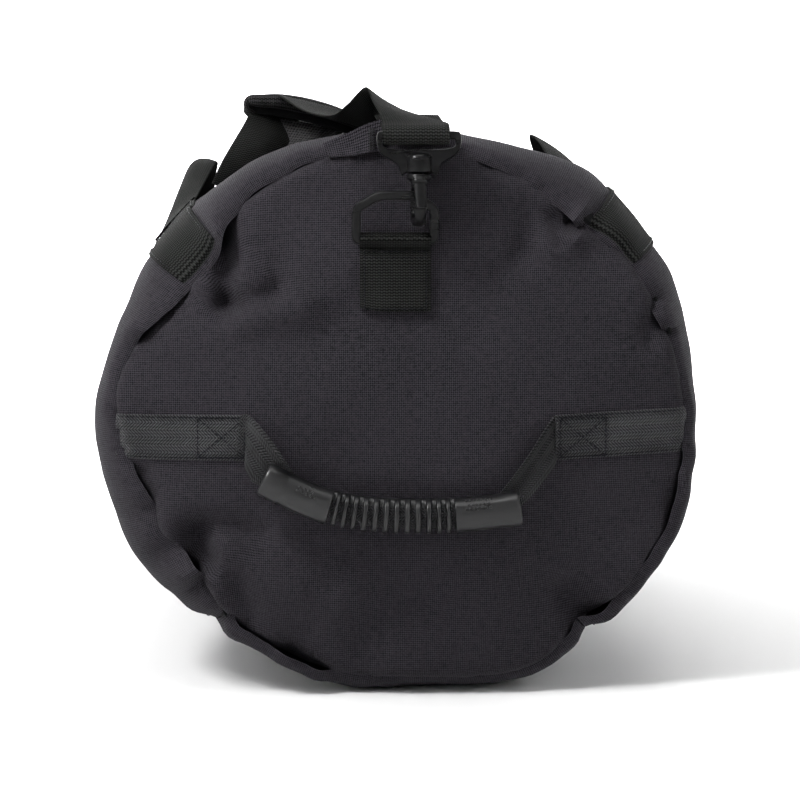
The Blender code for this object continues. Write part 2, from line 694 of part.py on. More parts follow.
def add_adjuster():
    """A slide adjuster: two rails, two bars under the strap and one over it."""
    y = 0.185
    pivot = pad_point(0, y, STRAP_ON_PAD)
    half, rail, clear, bar, half_length = 0.0200, 0.0045, 0.0013, 0.0021, 0.0130

    def block(name, low, high):
        corners = [
            pad_point((low[0], high[0])[i & 1], y + (low[1], high[1])[i >> 1 & 1],
                      STRAP_ON_PAD + (low[2], high[2])[i >> 2])
            for i in range(8)
        ]
        faces = [(0, 1, 3, 2), (4, 5, 7, 6), (0, 1, 5, 4), (2, 3, 7, 6), (0, 2, 6, 4), (1, 3, 7, 5)]
        return solid_mesh(name, corners, faces, pivot)

    def cross_bar(name, low_y, high_y, low, high):
        return block(name, (-half - 0.002, low_y, low), (half + 0.002, high_y, high))

    rails = [
        block("rail", (side * (half + rail * 0.5) - rail * 0.5, -half_length, -0.0035),
              (side * (half + rail * 0.5) + rail * 0.5, half_length, 0.0035))
        for side in (-1, 1)
    ]
    adjuster = place("strap_adjuster", rails[0], BLACK_PLASTIC, pivot)
    others = {
        "other_rail": rails[1],
        "front_bar": cross_bar("bar", -0.0125, -0.0080, -clear - bar, -clear),
        "rear_bar": cross_bar("bar", 0.0080, 0.0125, -clear - bar, -clear),
        "middle_bar": cross_bar("bar", -0.0030, 0.0030, clear, clear + bar),
    }
    for name, mesh in others.items():
        helper = place(f"adjuster_{name}", mesh, BLACK_PLASTIC, pivot)
        helper.hide_render = True
        helper.display_type = "WIRE"
        join = adjuster.modifiers.new(name, "BOOLEAN")
        join.operation = "UNION"
        join.object = helper


for old in list(bpy.data.objects):
    bpy.data.objects.remove(old)
END_FRAMES = {"front": end_frame("front", 0.0), "rear": end_frame("rear", math.pi)}
add_barrel_panels()
add_end_panels()
add_inner_tapes()
add_zip()
add_lengthwise_webbing()
add_carry_handles()
add_handle_bands()
add_end_handle()
add_dring()
add_hook_frame()
add_hook()
add_strap()
add_pad()
add_adjuster()
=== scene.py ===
"""The look of a stuffed barrel duffel bag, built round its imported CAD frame.

Metres, +Z up; tables of points are in millimetres and pass through mm(). The bag lies along Y and
its front end faces -Y. The rear end is the front one turned half round about Z.
"""

import math

import bmesh
import bpy
import numpy as np
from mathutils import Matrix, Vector, noise


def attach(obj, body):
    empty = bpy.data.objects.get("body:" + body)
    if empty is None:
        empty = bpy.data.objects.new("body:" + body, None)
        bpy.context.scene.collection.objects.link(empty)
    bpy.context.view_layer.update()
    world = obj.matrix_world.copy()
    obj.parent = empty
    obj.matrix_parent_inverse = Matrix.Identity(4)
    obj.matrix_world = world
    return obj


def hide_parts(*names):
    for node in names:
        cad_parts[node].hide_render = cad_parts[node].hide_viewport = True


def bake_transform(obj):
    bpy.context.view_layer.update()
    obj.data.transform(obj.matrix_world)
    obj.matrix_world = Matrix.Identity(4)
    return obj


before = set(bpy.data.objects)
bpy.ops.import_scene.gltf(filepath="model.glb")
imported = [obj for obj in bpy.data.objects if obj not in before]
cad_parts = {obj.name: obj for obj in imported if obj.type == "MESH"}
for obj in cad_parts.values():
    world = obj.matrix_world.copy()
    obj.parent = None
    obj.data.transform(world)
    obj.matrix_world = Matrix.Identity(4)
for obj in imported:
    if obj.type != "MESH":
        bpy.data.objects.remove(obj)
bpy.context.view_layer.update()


def mm(size):
    """Metres, from a number or a nested table in millimetres."""
    return tuple(map(mm, size)) if isinstance(size, tuple) else size / 1000



# The barrel and its seams, as in the CAD.
HALF_LENGTH = 0.309
AXIS_HEIGHT = 0.155
END_BULGE = 0.019
END_FACE = 0.3114
SEAM_REACH = 0.02
SHOULDER = 0.0045
SHOULDER_END = 0.3078
PANEL_INSET = 0.0034
BASE_SEAMS = (-47.0, 228.0)
PANEL_TOP = 83.5
WEBBING_TURN = 40.1
WEBBING_RADIUS = 0.178
STRAP_WIDTH = 0.038
STRAP_HALF = 0.018
WEBBING = 0.0014
TWILL_HALF = 0.0042
WRAP = 0.0047
BAND_HEIGHT = 0.149
BAND_HALF = 0.0127
CARRY_HALF_SPAN = 0.115
ENDS = (("front", -1), ("rear", 1))
SIDES = (("right", 1), ("left", -1))

# Each row: degrees round from +X to +Z, then in millimetres the radius of the barrel, the radius
# of the end seam, and how much further the barrel stands out near its end.
OUTLINE = (
    (0, 176.5, 169.5, 0.5), (12, 178, 168, 3), (24, 179.5, 166.5, 7), (38, 180, 165, 5.7),
    (49, 180, 157, 8.3), (61, 176.5, 162, 4.3), (75, 171, 165.5, 2.6), (90, 170, 163, 0),
    (104, 168, 159.5, 0), (118, 171.5, 156.5, -1.5), (128, 176.8, 154.5, -5.2),
    (137, 180.5, 144.5, -8.8), (148, 179.8, 143, -5.5), (160, 176.2, 156, -5.7),
    (172, 175, 163, -0.4), (181, 175, 160, 3.7), (190, 173, 155, 3.7), (198, 171, 147, 5.4),
    (204, 169, 151, 6.4), (211, 167, 144.5, 9.2), (221, 162, 144.5, 6.5), (228, 159, 149, 3.2),
    (240, 157, 149.5, -2.8), (252, 158, 151, -1), (262, 159, 150.5, 0), (270, 160, 148.5, 0),
    (280, 160, 151.5, 0), (290, 165, 158.5, 0), (300, 170, 165, 1.3), (314, 166.5, 160, 1.3),
    (325, 173, 167.5, 4.3), (340, 176, 171, 3.9), (350, 176, 170, 2.6),
)

# Creases (below 0) and ridges (above 0) of the end panel: x and z of both ends, width, depth.
FOLDS = mm((
    (-96, 276, -98, 263, 6, -5), (-98, 263, -94, 224, 7, -6), (-94, 224, -68, 230, 7, -4),
    (-84, 260, -81, 234, 14, 3.5), (-88, 215, -54, 223, 12, 2.5), (-148, 208, -145, 211, 4, -6),
    (-145, 211, -123, 223, 8, -3), (-114, 95, -108, 79, 9, -7), (-105, 99, -78, 93, 8, -3.5),
    (-122, 74, -115, 71, 4, -7), (-98, 85, -104, 55, 9, 4), (-75, 78, -37, 55, 20, 4),
    (-91, 69, -82, 44, 8, -3), (-61, 23, -44, 13, 6, -4), (-20, 32, 14, 55, 18, -3),
    (81, 299, 84, 302, 4, -5), (54, 311, 67, 306, 8, -3.5), (99, 269, 111, 282, 5, -6),
    (90, 272, 92, 259, 5, -4), (85, 257, 101, 260, 8, 2.5), (77, 273, 73, 253, 8, -2.5),
    (73, 253, 60, 240, 10, -1.5), (153, 224, 156, 213, 4, -6), (153, 223, 144, 204, 7, -3),
    (100, 61, 108, 48, 12, -4), (48, 78, 94, 89, 25, 2), (111, 112, 145, 78, 15, -2),
    (-23, 226, -37, 207, 12, -1.5), (26, 230, 43, 209, 12, -1.5), (-145, 129, -139, 112, 7, -3),
    (-54, 32, -31, 78, 12, -2.5),
))


# ---------------------------------------------------------------- shapes


class Shape:
    """Points, faces, and a texture place in metres for each face corner."""

    def __init__(self):
        self.points, self.faces, self.uvs = [], [], []

    def grid(self, rows, us, vs, closed=False):
        """Quads over rows of points; us and vs are lengths along a row and down the rows."""
        start, columns = len(self.points), len(rows[0])
        for row in rows:
            self.points += [Vector(point) for point in row]
        for i in range(len(rows) - 1):
            for j in range(columns if closed else columns - 1):
                a, b = start + i * columns, start + (i + 1) * columns
                k = (j + 1) % columns
                self.faces.append((a + j, a + k, b + k, b + j))
                self.uvs.append(
                    ((us[j], vs[i]), (us[j + 1], vs[i]), (us[j + 1], vs[i + 1]), (us[j], vs[i + 1]))
                )
        return start

    def cap(self, indices, uv=(0.0, 0.0)):
        self.faces.append(tuple(indices))
        self.uvs.append(tuple(uv for _ in indices))

    def layer(self, surface, us, vs, low, high, lengths=None):
        """A closed sheet between two offsets of surface(u, v, offset)."""
        rows, columns = len(us), len(vs)
        along_v, along_u = lengths or measured(surface, us, vs)
        outer = self.grid([[surface(u, v, high) for v in vs] for u in us], along_v, along_u)
        inner = self.grid([[surface(u, v, low) for v in vs] for u in us], along_v, along_u)
        edge = list(range(columns))
        edge += [i * columns + columns - 1 for i in range(1, rows)]
        edge += [(rows - 1) * columns + j for j in range(columns - 2, -1, -1)]
        edge += [i * columns for i in range(rows - 2, 0, -1)]
        for here, there in zip(edge, edge[1:] + edge[:1]):
            self.faces.append((outer + here, outer + there, inner + there, inner + here))
            near, far = [], []
            for k in (here, there):
                j, i = k % columns, k // columns
                aside = (high - low) * ((j == columns - 1) - (j == 0))
                beyond = (high - low) * ((i == rows - 1) - (i == 0))
                near.append((along_v[j], along_u[i]))
                far.append((along_v[j] + aside, along_u[i] + beyond))
            self.uvs.append((near[0], near[1], far[1], far[0]))
        return self

    def sweep(self, path, section, sides, closed=False):
        """section(i) gives (across, along the side) pairs, carried along the path."""
        path = [Vector(point) for point in path]
        rows, vs, count = [], running(path), len(path)
        for i, centre in enumerate(path):
            ahead = path[(i + 1) % count] if closed else path[min(i + 1, count - 1)]
            behind = path[i - 1] if closed else path[max(i - 1, 0)]
            tangent = (ahead - behind).normalized()
            side = Vector(sides[i] if isinstance(sides, list) else sides)
            side = (side - tangent * side.dot(tangent)).normalized()
            across = tangent.cross(side)
            rows.append([centre + across * a + side * b for a, b in section(i)])
        if closed:
            rows.append(rows[0])
            vs.append(vs[-1] + (path[0] - path[-1]).length)
        pairs = section(0)
        us = [0.0]
        for (a, b), (c, d) in zip(pairs, pairs[1:] + pairs[:1]):
            us.append(us[-1] + math.hypot(c - a, d - b))
        start = self.grid(rows, us, vs, closed=True)
        if not closed:
            columns, last = len(pairs), start + (count - 1) * len(pairs)
            self.cap(range(start + columns - 1, start - 1, -1))
            self.cap(range(last, last + columns))
        return self

    def ribbon(self, edges, thickness=WEBBING, steps=7, bows=None):
        """Webbing between two edge lines, given as pairs of points, bowed out between them."""
        lefts = smooth_path([left for left, _ in edges], steps)
        rights = smooth_path([right for _, right in edges], steps)
        bow = smooth_values(bows, steps) if bows else [0.0] * len(lefts)
        marks = [(-0.01, 0), (0.0, 0.8)] + [(k / 10, 1) for k in range(1, 10)] + [(1.0, 0.8)]
        marks += [(1.01, 0), (1.0, -0.8)] + [(k / 10, -1) for k in range(9, 0, -1)] + [(0.0, -0.8)]
        middles = [(a + b) / 2 for a, b in zip(lefts, rights)]
        rows, vs, last = [], running(middles), len(middles) - 1
        for i, (a, b) in enumerate(zip(lefts, rights)):
            tangent = middles[min(i + 1, last)] - middles[max(i - 1, 0)]
            out = tangent.cross(b - a).normalized()
            lift = [thickness / 2 * way + bow[i] * (1 - (2 * s - 1) ** 2) for s, way in marks]
            rows.append([a.lerp(b, s) + out * up for (s, _), up in zip(marks, lift)])
        width = (rights[0] - lefts[0]).length
        us = [s * width for s, _ in marks] + [0.0]
        start = self.grid(rows, us, vs, closed=True)
        count = len(marks)
        self.cap(range(start + count - 1, start - 1, -1))
        self.cap(range(start + last * count, start + (last + 1) * count))
        return self

    def revolve(self, base, profile, sides=32):
        """A profile of (radius, height) pairs turned about the vertical through base."""
        rows = []
        for radius, height in profile:
            turns = [math.tau * i / sides for i in range(sides)]
            rows.append(
                [base + Vector((radius * math.cos(t), radius * math.sin(t), height)) for t in turns]
            )
        us = [profile[0][0] * math.tau * i / sides for i in range(sides + 1)]
        start = self.grid(rows, us, [height for _, height in profile], closed=True)
        last = start + (len(profile) - 1) * sides
        self.cap(range(start, start + sides))
        self.cap(range(last + sides - 1, last - 1, -1))
        return self

    def turned(self):
        """The same shape turned half round about Z."""
        other = Shape()
        other.points = [Vector((-p.x, -p.y, p.z)) for p in self.points]
        other.faces, other.uvs = self.faces, self.uvs
        return other


def running(points):
    """How far along a line of points each of them is."""
    lengths = [0.0]
    for a, b in zip(points, points[1:]):
        lengths.append(lengths[-1] + (b - a).length)
    return lengths


def measured(surface, us, vs):
    """Lengths along the middle row and the middle column of a surface."""
    middle_u, middle_v = us[len(us) // 2], vs[len(vs) // 2]
    return (running([surface(middle_u, v, 0) for v in vs]),
            running([surface(u, middle_v, 0) for u in us]))


def make(name, shape, finish, slot, body, replaces=(), smooth=38, weld=False):
    """The shape as a piece that rides on a body and stands for some CAD nodes."""
    mesh = bpy.data.meshes.new(name)
    mesh.from_pydata(shape.points, [], shape.faces)
    places = mesh.uv_layers.new(name="cloth")
    flat = [value for face in shape.uvs for place in face for value in place]
    places.data.foreach_set("uv", flat)
    shaped = bmesh.new()
    shaped.from_mesh(mesh)
    if weld:
        bmesh.ops.remove_doubles(shaped, verts=shaped.verts, dist=1e-6)
    bmesh.ops.recalc_face_normals(shaped, faces=shaped.faces)
    shaped.to_mesh(mesh)
    shaped.free()
    mesh.shade_smooth()
    mesh.set_sharp_from_angle(angle=math.radians(smooth))
    mesh.materials.append(finish)
    obj = bpy.data.objects.new(name, mesh)
    bpy.context.scene.collection.objects.link(obj)
    if body:
        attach(obj, body)
    if replaces:
        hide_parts(*replaces)
    return obj


def at_both_ends(name, shape, finish, slot, body, replaces=(), **more):
    """The front piece and its turned copy at the rear; {} in a name stands for the end."""
    for end, form in (("front", shape), ("rear", shape.turned())):
        nodes = [node.format(end) for node in replaces]
        make(name.format(end), form, finish, slot, body.format(end), nodes, **more)


def spread(low, high, count):
    """Evenly spaced values from low to high."""
    return [low + (high - low) * i / (count - 1) for i in range(count)]


def catmull(a, b, c, d, t):
    """The smooth curve from b to c, a part t of the way."""
    return 0.5 * (2 * b + (c - a) * t + (2 * a - 5 * b + 4 * c - d) * t**2
                  + (3 * b - a - 3 * c + d) * t**3)


def smooth_path(points, steps):
    """A curve through the points."""
    route = [Vector(point) for point in points]
    route = [route[0] * 2 - route[1]] + route + [route[-1] * 2 - route[-2]]
    curve = []
    for a, b, c, d in zip(route, route[1:], route[2:], route[3:]):
        curve += [catmull(a, b, c, d, i / steps) for i in range(steps)]
    return curve + [route[-2]]


def smooth_values(values, steps):
    """The same curve through plain numbers."""
    return [point.x for point in smooth_path([(value, 0, 0) for value in values], steps)]


def webbing_section(width, thickness):
    """A flat section with rounded edges, thinner at its selvedges."""
    half, t, cells = width / 2, thickness / 2, 6
    top = [(t * 0.75, -half + t * 0.4)] + [(t, half * (2 * k / cells - 1)) for k in range(1, cells)]
    top.append((t * 0.75, half - t * 0.4))
    return [(0, -half)] + top + [(0, half)] + [(-a, b) for a, b in reversed(top)]


def level(middle):
    """Both edges of webbing that lies level across the bag at this point."""
    half = Vector((STRAP_HALF, 0, 0))
    return Vector(middle) - half, Vector(middle) + half


def rounded(pairs):
    """A sweep's section that stays the same all along its path."""
    return lambda _: pairs


def rounded_oval(across, along, sides=20, power=2.0):
    """A section between an oval, at power 2, and a box."""
    pairs = []
    for i in range(sides):
        turn = math.tau * (i + 0.5) / sides
        c, s = math.cos(turn), math.sin(turn)
        pairs.append((across * math.copysign(abs(c) ** (2 / power), c),
                      along * math.copysign(abs(s) ** (2 / power), s)))
    return pairs


# ---------------------------------------------------------------- surfaces


def ring_table(column):
    """The outline's radii at each half degree, with its corners smoothed."""
    degrees = [row[0] for row in OUTLINE] + [360]
    radii = [row[column] for row in OUTLINE] + [OUTLINE[0][column]]
    fine = np.interp(np.arange(720) / 2, degrees, mm(tuple(radii)))
    window = np.hanning(19 if column == 2 else 31)
    wrapped = np.concatenate([fine[-60:], fine, fine[:60]])
    return np.convolve(wrapped, window / window.sum(), mode="same")[60:780]


BARREL_RADII = ring_table(1)
SEAM_RADII = ring_table(2)
SWELL = ring_table(3)


def looked_up(table, degrees):
    """A value of a table that has an entry for each half degree."""
    place = degrees % 360 * 2
    low = int(place)
    part = place - low
    return float(table[low % 720] * (1 - part) + table[(low + 1) % 720] * part)


def bump(distance, width):
    """A smooth hill: 1 at its middle, fading over its width."""
    return math.exp(-((distance / width) ** 2))


def eased(part):
    """Smoothly from 0 to 1."""
    part = min(max(part, 0.0), 1.0)
    return part * part * (3 - 2 * part)


def lumps(degrees, y, near):
    """How the stuffing and the sewing push the barrel in and out."""
    turn = math.radians(degrees)
    place = Vector((math.cos(turn), math.sin(turn), y * 5.6))
    calm = 1 - bump(degrees - 90, 11)
    soft = noise.noise(place * 1.5 + Vector((3.1, 0.4, 7.7))) * 0.0042
    fine = noise.noise(place * 4.6 + Vector((9.2, 5.1, 1.3))) * 0.0013
    long_fold = noise.noise(Vector((place.x * 6, place.y * 6, y * 3.5))) * 0.0013
    gathers = noise.noise(Vector((place.x * 11, place.y * 11, y * 9 + 2))) * 0.0026
    total = (soft + fine + long_fold) * calm
    total += gathers * math.exp(-near / 0.028) * (0.3 + 0.7 * calm)
    for seam in BASE_SEAMS:
        away = (degrees - seam + 180) % 360 - 180
        arc = math.radians(away) * 0.165
        total -= 0.0026 * bump(arc, 0.006)
        total += 0.0012 * bump(abs(arc) - 0.014, 0.007)
    for strip in (WEBBING_TURN, 180 - WEBBING_TURN):
        away = (degrees - strip + 180) % 360 - 180
        total -= 0.0012 * bump(away, 7)
    return total


def shell(degrees, y, offset=0.0):
    """A point of the barrel at this offset out of its face; it lies flat where it stands."""
    near = max(0.0, SHOULDER_END - abs(y))
    at_seam = math.exp(-near / SEAM_REACH)
    from_end = degrees if y < 0 else 180 - degrees
    barrel = looked_up(BARREL_RADII, degrees)
    barrel += looked_up(SWELL, from_end) * eased((abs(y) - 0.135) / 0.085)
    seam = looked_up(SEAM_RADII, from_end)
    radius = barrel + (seam - barrel) * at_seam + lumps(degrees, y, near)
    inward = max(0.0, 1 - near / SHOULDER)
    radius += offset - SHOULDER * (1 - math.sqrt(1 - inward**2))
    turn = math.radians(degrees)
    z = AXIS_HEIGHT + radius * math.sin(turn)
    y += math.copysign(looked_up(RIM, from_end) * at_seam, y)
    return Vector((radius * math.cos(turn), y, max(z, 0.0, -offset)))


def fold_depth(x, z):
    """How far the listed creases and ridges move the panel here."""
    total = 0.0
    for x1, z1, x2, z2, width, depth in FOLDS:
        dx, dz = x2 - x1, z2 - z1
        part = ((x - x1) * dx + (z - z1) * dz) / (dx * dx + dz * dz)
        part = min(max(part, 0.0), 1.0)
        away = math.hypot(x - x1 - dx * part, z - z1 - dz * part)
        if away < 3 * width:
            total += depth * bump(away, width)
    return total


def unevenness(x, z):
    """How far the stuffing and the creases push the front end panel out of its plain curve."""
    up = z - AXIS_HEIGHT
    turn = math.atan2(up, x)
    part = min(1.0, math.hypot(x, up) / looked_up(SEAM_RADII, math.degrees(turn)))
    place = Vector((x * 9, z * 9, 4.2))
    depth = noise.noise(place) * 0.0055 + noise.noise(place * 2.7) * 0.0028
    depth += noise.noise(Vector((x * 60, z * 26, 1.2))) * 0.0007
    rays = Vector((math.cos(turn) * 7, math.sin(turn) * 7, 0.5))
    depth += noise.noise(rays) * 0.0034 * part**6 + noise.noise(rays * 2.6) * 0.0022 * part**9
    return depth + fold_depth(x, z) * 1.8


def rim_table():
    """The panel's unevenness at its rim, which the barrel's end follows."""
    table = []
    for half_degree in range(720):
        radius = SEAM_RADII[half_degree] - PANEL_INSET
        turn = math.radians(half_degree / 2)
        table.append(unevenness(radius * math.cos(turn), AXIS_HEIGHT + radius * math.sin(turn)))
    return table


RIM = rim_table()


def end_face(x, z, offset=0.0):
    """A point of the stuffed front end panel, out of its face by the offset."""
    up = z - AXIS_HEIGHT
    reach = math.hypot(x, up)
    seam = looked_up(SEAM_RADII, math.degrees(math.atan2(up, x)))
    depth = END_BULGE * (1 - min(reach / seam, 1.0) ** 2) + unevenness(x, z)
    inside = max(0.0, seam - PANEL_INSET - reach)
    inward = max(0.0, 1 - inside / 0.0065)
    depth -= 0.007 * (1 - math.sqrt(1 - inward**2))
    return Vector((x, -(END_FACE + depth + offset), z))


# ---------------------------------------------------------------- materials


class Nodes:
    """A material's node tree, with short ways to add to it."""

    def __init__(self, name, colour, roughness, **inputs):
        self.material = bpy.data.materials.new(name)
        self.material.use_nodes = True
        self.tree = self.material.node_tree
        self.shader = self.tree.nodes["Principled BSDF"]
        self.shader.inputs["Base Color"].default_value = (*colour, 1)
        self.shader.inputs["Roughness"].default_value = roughness
        for key, value in inputs.items():
            self.shader.inputs[key.replace("_", " ")].default_value = value

    def node(self, kind, **settings):
        made = self.tree.nodes.new(kind)
        for key, value in settings.items():
            setattr(made, key, value)
        return made

    def link(self, source, target):
        self.tree.links.new(source, target)

    def math(self, operation, a, b=0.0):
        made = self.node("ShaderNodeMath", operation=operation)
        for socket, value in zip(made.inputs, (a, b)):
            if isinstance(value, (int, float)):
                socket.default_value = value
            else:
                self.link(value, socket)
        return made.outputs[0]

    def sum(self, *weighted):
        """The sum of the values, each times its weight."""
        parts = [self.math("MULTIPLY", value, weight) for value, weight in weighted]
        while len(parts) > 1:
            parts[:2] = [self.math("ADD", *parts[:2])]
        return parts[0]

    def cell(self, value, pitch):
        return self.math("FLOOR", self.math("DIVIDE", value, pitch))

    def ridges(self, value, pitch):
        """Rounded ridges, one to each pitch."""
        wave = self.math("SINE", self.math("MULTIPLY", value, math.pi / pitch))
        return self.math("ABSOLUTE", wave)

    def cloth_uv(self):
        place = self.node("ShaderNodeUVMap", uv_map="cloth")
        split = self.node("ShaderNodeSeparateXYZ")
        self.link(place.outputs[0], split.inputs[0])
        return place.outputs[0], split.outputs[0], split.outputs[1]

    def place(self):
        return self.node("ShaderNodeTexCoord").outputs["Object"]

    def noise(self, place, scale, detail=2.0, stretch=None):
        if stretch:
            mapping = self.node("ShaderNodeMapping")
            mapping.inputs["Scale"].default_value = stretch
            self.link(place, mapping.inputs["Vector"])
            place = mapping.outputs[0]
        made = self.node("ShaderNodeTexNoise")
        made.inputs["Scale"].default_value = scale
        made.inputs["Detail"].default_value = detail
        self.link(place, made.inputs["Vector"])
        return made.outputs["Fac"]

    def ramp(self, value, low, high, out_low, out_high):
        made = self.node("ShaderNodeMapRange")
        for key, number in (("From Min", low), ("From Max", high),
                            ("To Min", out_low), ("To Max", out_high)):
            made.inputs[key].default_value = number
        self.link(value, made.inputs["Value"])
        return made.outputs[0]

    def tint(self, factor, dark, light):
        made = self.node("ShaderNodeMix", data_type="RGBA")
        made.inputs["A"].default_value = (*dark, 1)
        made.inputs["B"].default_value = (*light, 1)
        self.link(factor, made.inputs["Factor"])
        self.link(made.outputs["Result"], self.shader.inputs["Base Color"])

    def bump(self, height, distance, strength=1.0, under=None):
        made = self.node("ShaderNodeBump")
        made.inputs["Strength"].default_value = strength
        made.inputs["Distance"].default_value = distance
        self.link(height, made.inputs["Height"])
        if under:
            self.link(under, made.inputs["Normal"])
        return made.outputs[0]

    def finish(self, normal, roughness=None):
        self.link(normal, self.shader.inputs["Normal"])
        if roughness:
            self.link(roughness, self.shader.inputs["Roughness"])
        return self.material


def woven(nodes, u, v, pitch_u, pitch_v):
    """Plain weave: threads cross over and under in a chequered order."""
    cells = nodes.math("ADD", nodes.cell(u, pitch_u), nodes.cell(v, pitch_v))
    over = nodes.math("FLOORED_MODULO", cells, 2.0)
    warp = nodes.math("MULTIPLY", nodes.ridges(u, pitch_u), over)
    weft = nodes.math("MULTIPLY", nodes.ridges(v, pitch_v), nodes.math("SUBTRACT", 1.0, over))
    return nodes.math("ADD", warp, weft)


def fabric_material(name, dark, light, pitch, depth):
    """Coarse plain weave with uneven threads, a worn bloom, and painted shade between the threads.
    """
    nodes = Nodes(name, dark, 0.9, Sheen_Weight=0.03, Sheen_Roughness=0.5,
                  Specular_IOR_Level=0.12)
    uv, u, v = nodes.cloth_uv()
    weave = woven(nodes, u, v, pitch, pitch * 1.15)
    slub_u = nodes.noise(uv, 1.0, 2.0, (190, 800, 1))
    slub_v = nodes.noise(uv, 1.0, 2.0, (800, 190, 1))
    flecks = nodes.noise(uv, 950.0, 1.0)
    slubs = nodes.math("ADD", slub_u, slub_v)
    threads = nodes.sum((weave, 0.6), (slubs, 0.32), (flecks, 0.22))
    wear = nodes.noise(nodes.place(), 14.0, 3.0)
    shade = nodes.sum((threads, 1.0), (wear, 0.18))
    # Tint follows the thread relief: painted shade between threads; slubs, flecks and wear are real
    # tone.
    nodes.tint(nodes.ramp(shade, 0.775, 1.055, 0.0, 1.0), dark, light)
    soft = nodes.bump(nodes.noise(nodes.place(), 130.0, 2.0), 0.0006, 0.5)
    fine = nodes.bump(threads, depth, 0.9, soft)
    return nodes.finish(fine, nodes.ramp(wear, 0.3, 0.7, 0.82, 0.95))


def webbing_material(name, dark, light, rib, column, depth, gloss=0.5, sheen=0.1, twill=False):
    """Ribs across, in columns that step up and down, or in a zigzag twill, with painted shade in
    the grooves.
    """
    nodes = Nodes(name, dark, gloss, Sheen_Weight=sheen, Sheen_Roughness=0.35,
                  Specular_IOR_Level=0.12)
    uv, u, v = nodes.cloth_uv()
    if twill:
        aside = nodes.math("PINGPONG", u, TWILL_HALF)
    else:
        aside = nodes.math("FLOORED_MODULO", nodes.cell(u, column), 2.0)
        aside = nodes.math("MULTIPLY", aside, rib * 0.22)
    ribs = nodes.ridges(nodes.math("ADD", v, aside), rib)
    slubs = nodes.noise(uv, 1.0, 1.0, (900, 300, 1))
    height = nodes.sum((ribs, 0.75), (nodes.ridges(u, column), 0.3), (slubs, 0.25))
    wear = nodes.noise(nodes.place(), 22.0, 2.0)
    shade = nodes.sum((height, 0.6), (wear, 0.3))
    # Tint follows the rib relief: painted shade in the grooves between ribs; slubs and wear are
    # real tone.
    nodes.tint(nodes.ramp(shade, 0.42, 0.98, 0.0, 1.0), dark, light)
    normal = nodes.bump(height, depth, 1.0)
    return nodes.finish(normal, nodes.ramp(slubs, 0.2, 0.8, gloss - 0.08, gloss + 0.1))


def plastic_material(name, colour, roughness, shine=0.24):
    """Satin moulded plastic or rubber: fine grain, shallow sink marks, long faint scuffs."""
    nodes = Nodes(name, colour, roughness, Specular_IOR_Level=shine)
    place = nodes.place()
    grain = nodes.noise(place, 2600.0, 2.0)
    sink = nodes.noise(place, 90.0, 2.0)
    normal = nodes.bump(grain, 0.00003, 0.5, nodes.bump(sink, 0.00008, 0.25))
    scuffs = nodes.noise(place, 60.0, 4.0, (1, 1, 5))
    light = tuple(min(1, channel * 1.8 + 0.002) for channel in colour)
    nodes.tint(nodes.ramp(scuffs, 0.35, 0.8, 0.0, 1.0), colour, light)
    return nodes.finish(normal, nodes.ramp(scuffs, 0.3, 0.7, roughness - 0.05, roughness + 0.09))


def metal_material(name, colour, roughness):
    """Dark painted casting, worn lighter in patches."""
    nodes = Nodes(name, colour, roughness, Metallic=0.85)
    place = nodes.place()
    cast = nodes.noise(place, 700.0, 3.0)
    worn = nodes.noise(place, 180.0, 3.0)
    light = tuple(channel * 2.5 for channel in colour)
    nodes.tint(nodes.ramp(worn, 0.5, 0.75, 0.0, 1.0), colour, light)
    return nodes.finish(nodes.bump(cast, 0.00006, 0.5), nodes.ramp(worn, 0.3, 0.7, 0.28, 0.42))


def mesh_material(name, dark, light):
    """Air-mesh: round holes in staggered rows over darker foam."""
    nodes = Nodes(name, dark, 0.8, Sheen_Weight=0.1, Sheen_Roughness=0.5, Specular_IOR_Level=0.3)
    uv, _, _ = nodes.cloth_uv()
    cells = nodes.node("ShaderNodeTexVoronoi", feature="F1")
    cells.inputs["Scale"].default_value = 520.0
    cells.inputs["Randomness"].default_value = 0.18
    nodes.link(uv, cells.inputs["Vector"])
    holes = nodes.ramp(cells.outputs["Distance"], 0.15, 0.5, 0.0, 1.0)
    nodes.tint(holes, dark, light)
    soft = nodes.bump(nodes.noise(nodes.place(), 120.0, 2.0), 0.0008, 0.4)
    return nodes.finish(nodes.bump(holes, 0.0005, 1.0, soft))


FABRIC = fabric_material(
    "charcoal_plain_weave", (0.004, 0.0037, 0.0045), (0.058, 0.0535, 0.0625), 0.00108, 0.0003)
TAPE = fabric_material(
    "zip_tape_weave", (0.007, 0.007, 0.0075), (0.017, 0.017, 0.018), 0.0008, 0.0002)
PAD_CLOTH = fabric_material(
    "pad_binding_cloth", (0.004, 0.004, 0.0042), (0.044, 0.043, 0.044), 0.00105, 0.0003)
WEBBING_FINISH = webbing_material(
    "ribbed_webbing", (0.0008, 0.0009, 0.0008), (0.052, 0.0534, 0.051), 0.0016, 0.0014, 0.0005,
    gloss=0.85, sheen=0.0)
BAND_FINISH = webbing_material(
    "twill_band", (0.004, 0.004, 0.0043), (0.1, 0.1, 0.105), 0.0018, 0.0019, 0.00045,
    gloss=0.4, sheen=0.08, twill=True)
FLAP_FINISH = webbing_material(
    "twill_flap", (0.003, 0.003, 0.0032), (0.08, 0.08, 0.083), 0.0018, 0.0019, 0.0005,
    sheen=0.05, twill=True)
THREAD = webbing_material(
    "bonded_thread", (0.0025, 0.0025, 0.004), (0.01, 0.01, 0.016), 0.0005, 0.0005, 0.0001,
    gloss=0.45)
PLASTIC = plastic_material("satin_moulded_plastic", (0.0055, 0.0055, 0.0058), 0.29)
RUBBER = plastic_material("satin_moulded_rubber", (0.0085, 0.0085, 0.009), 0.34, 0.6)
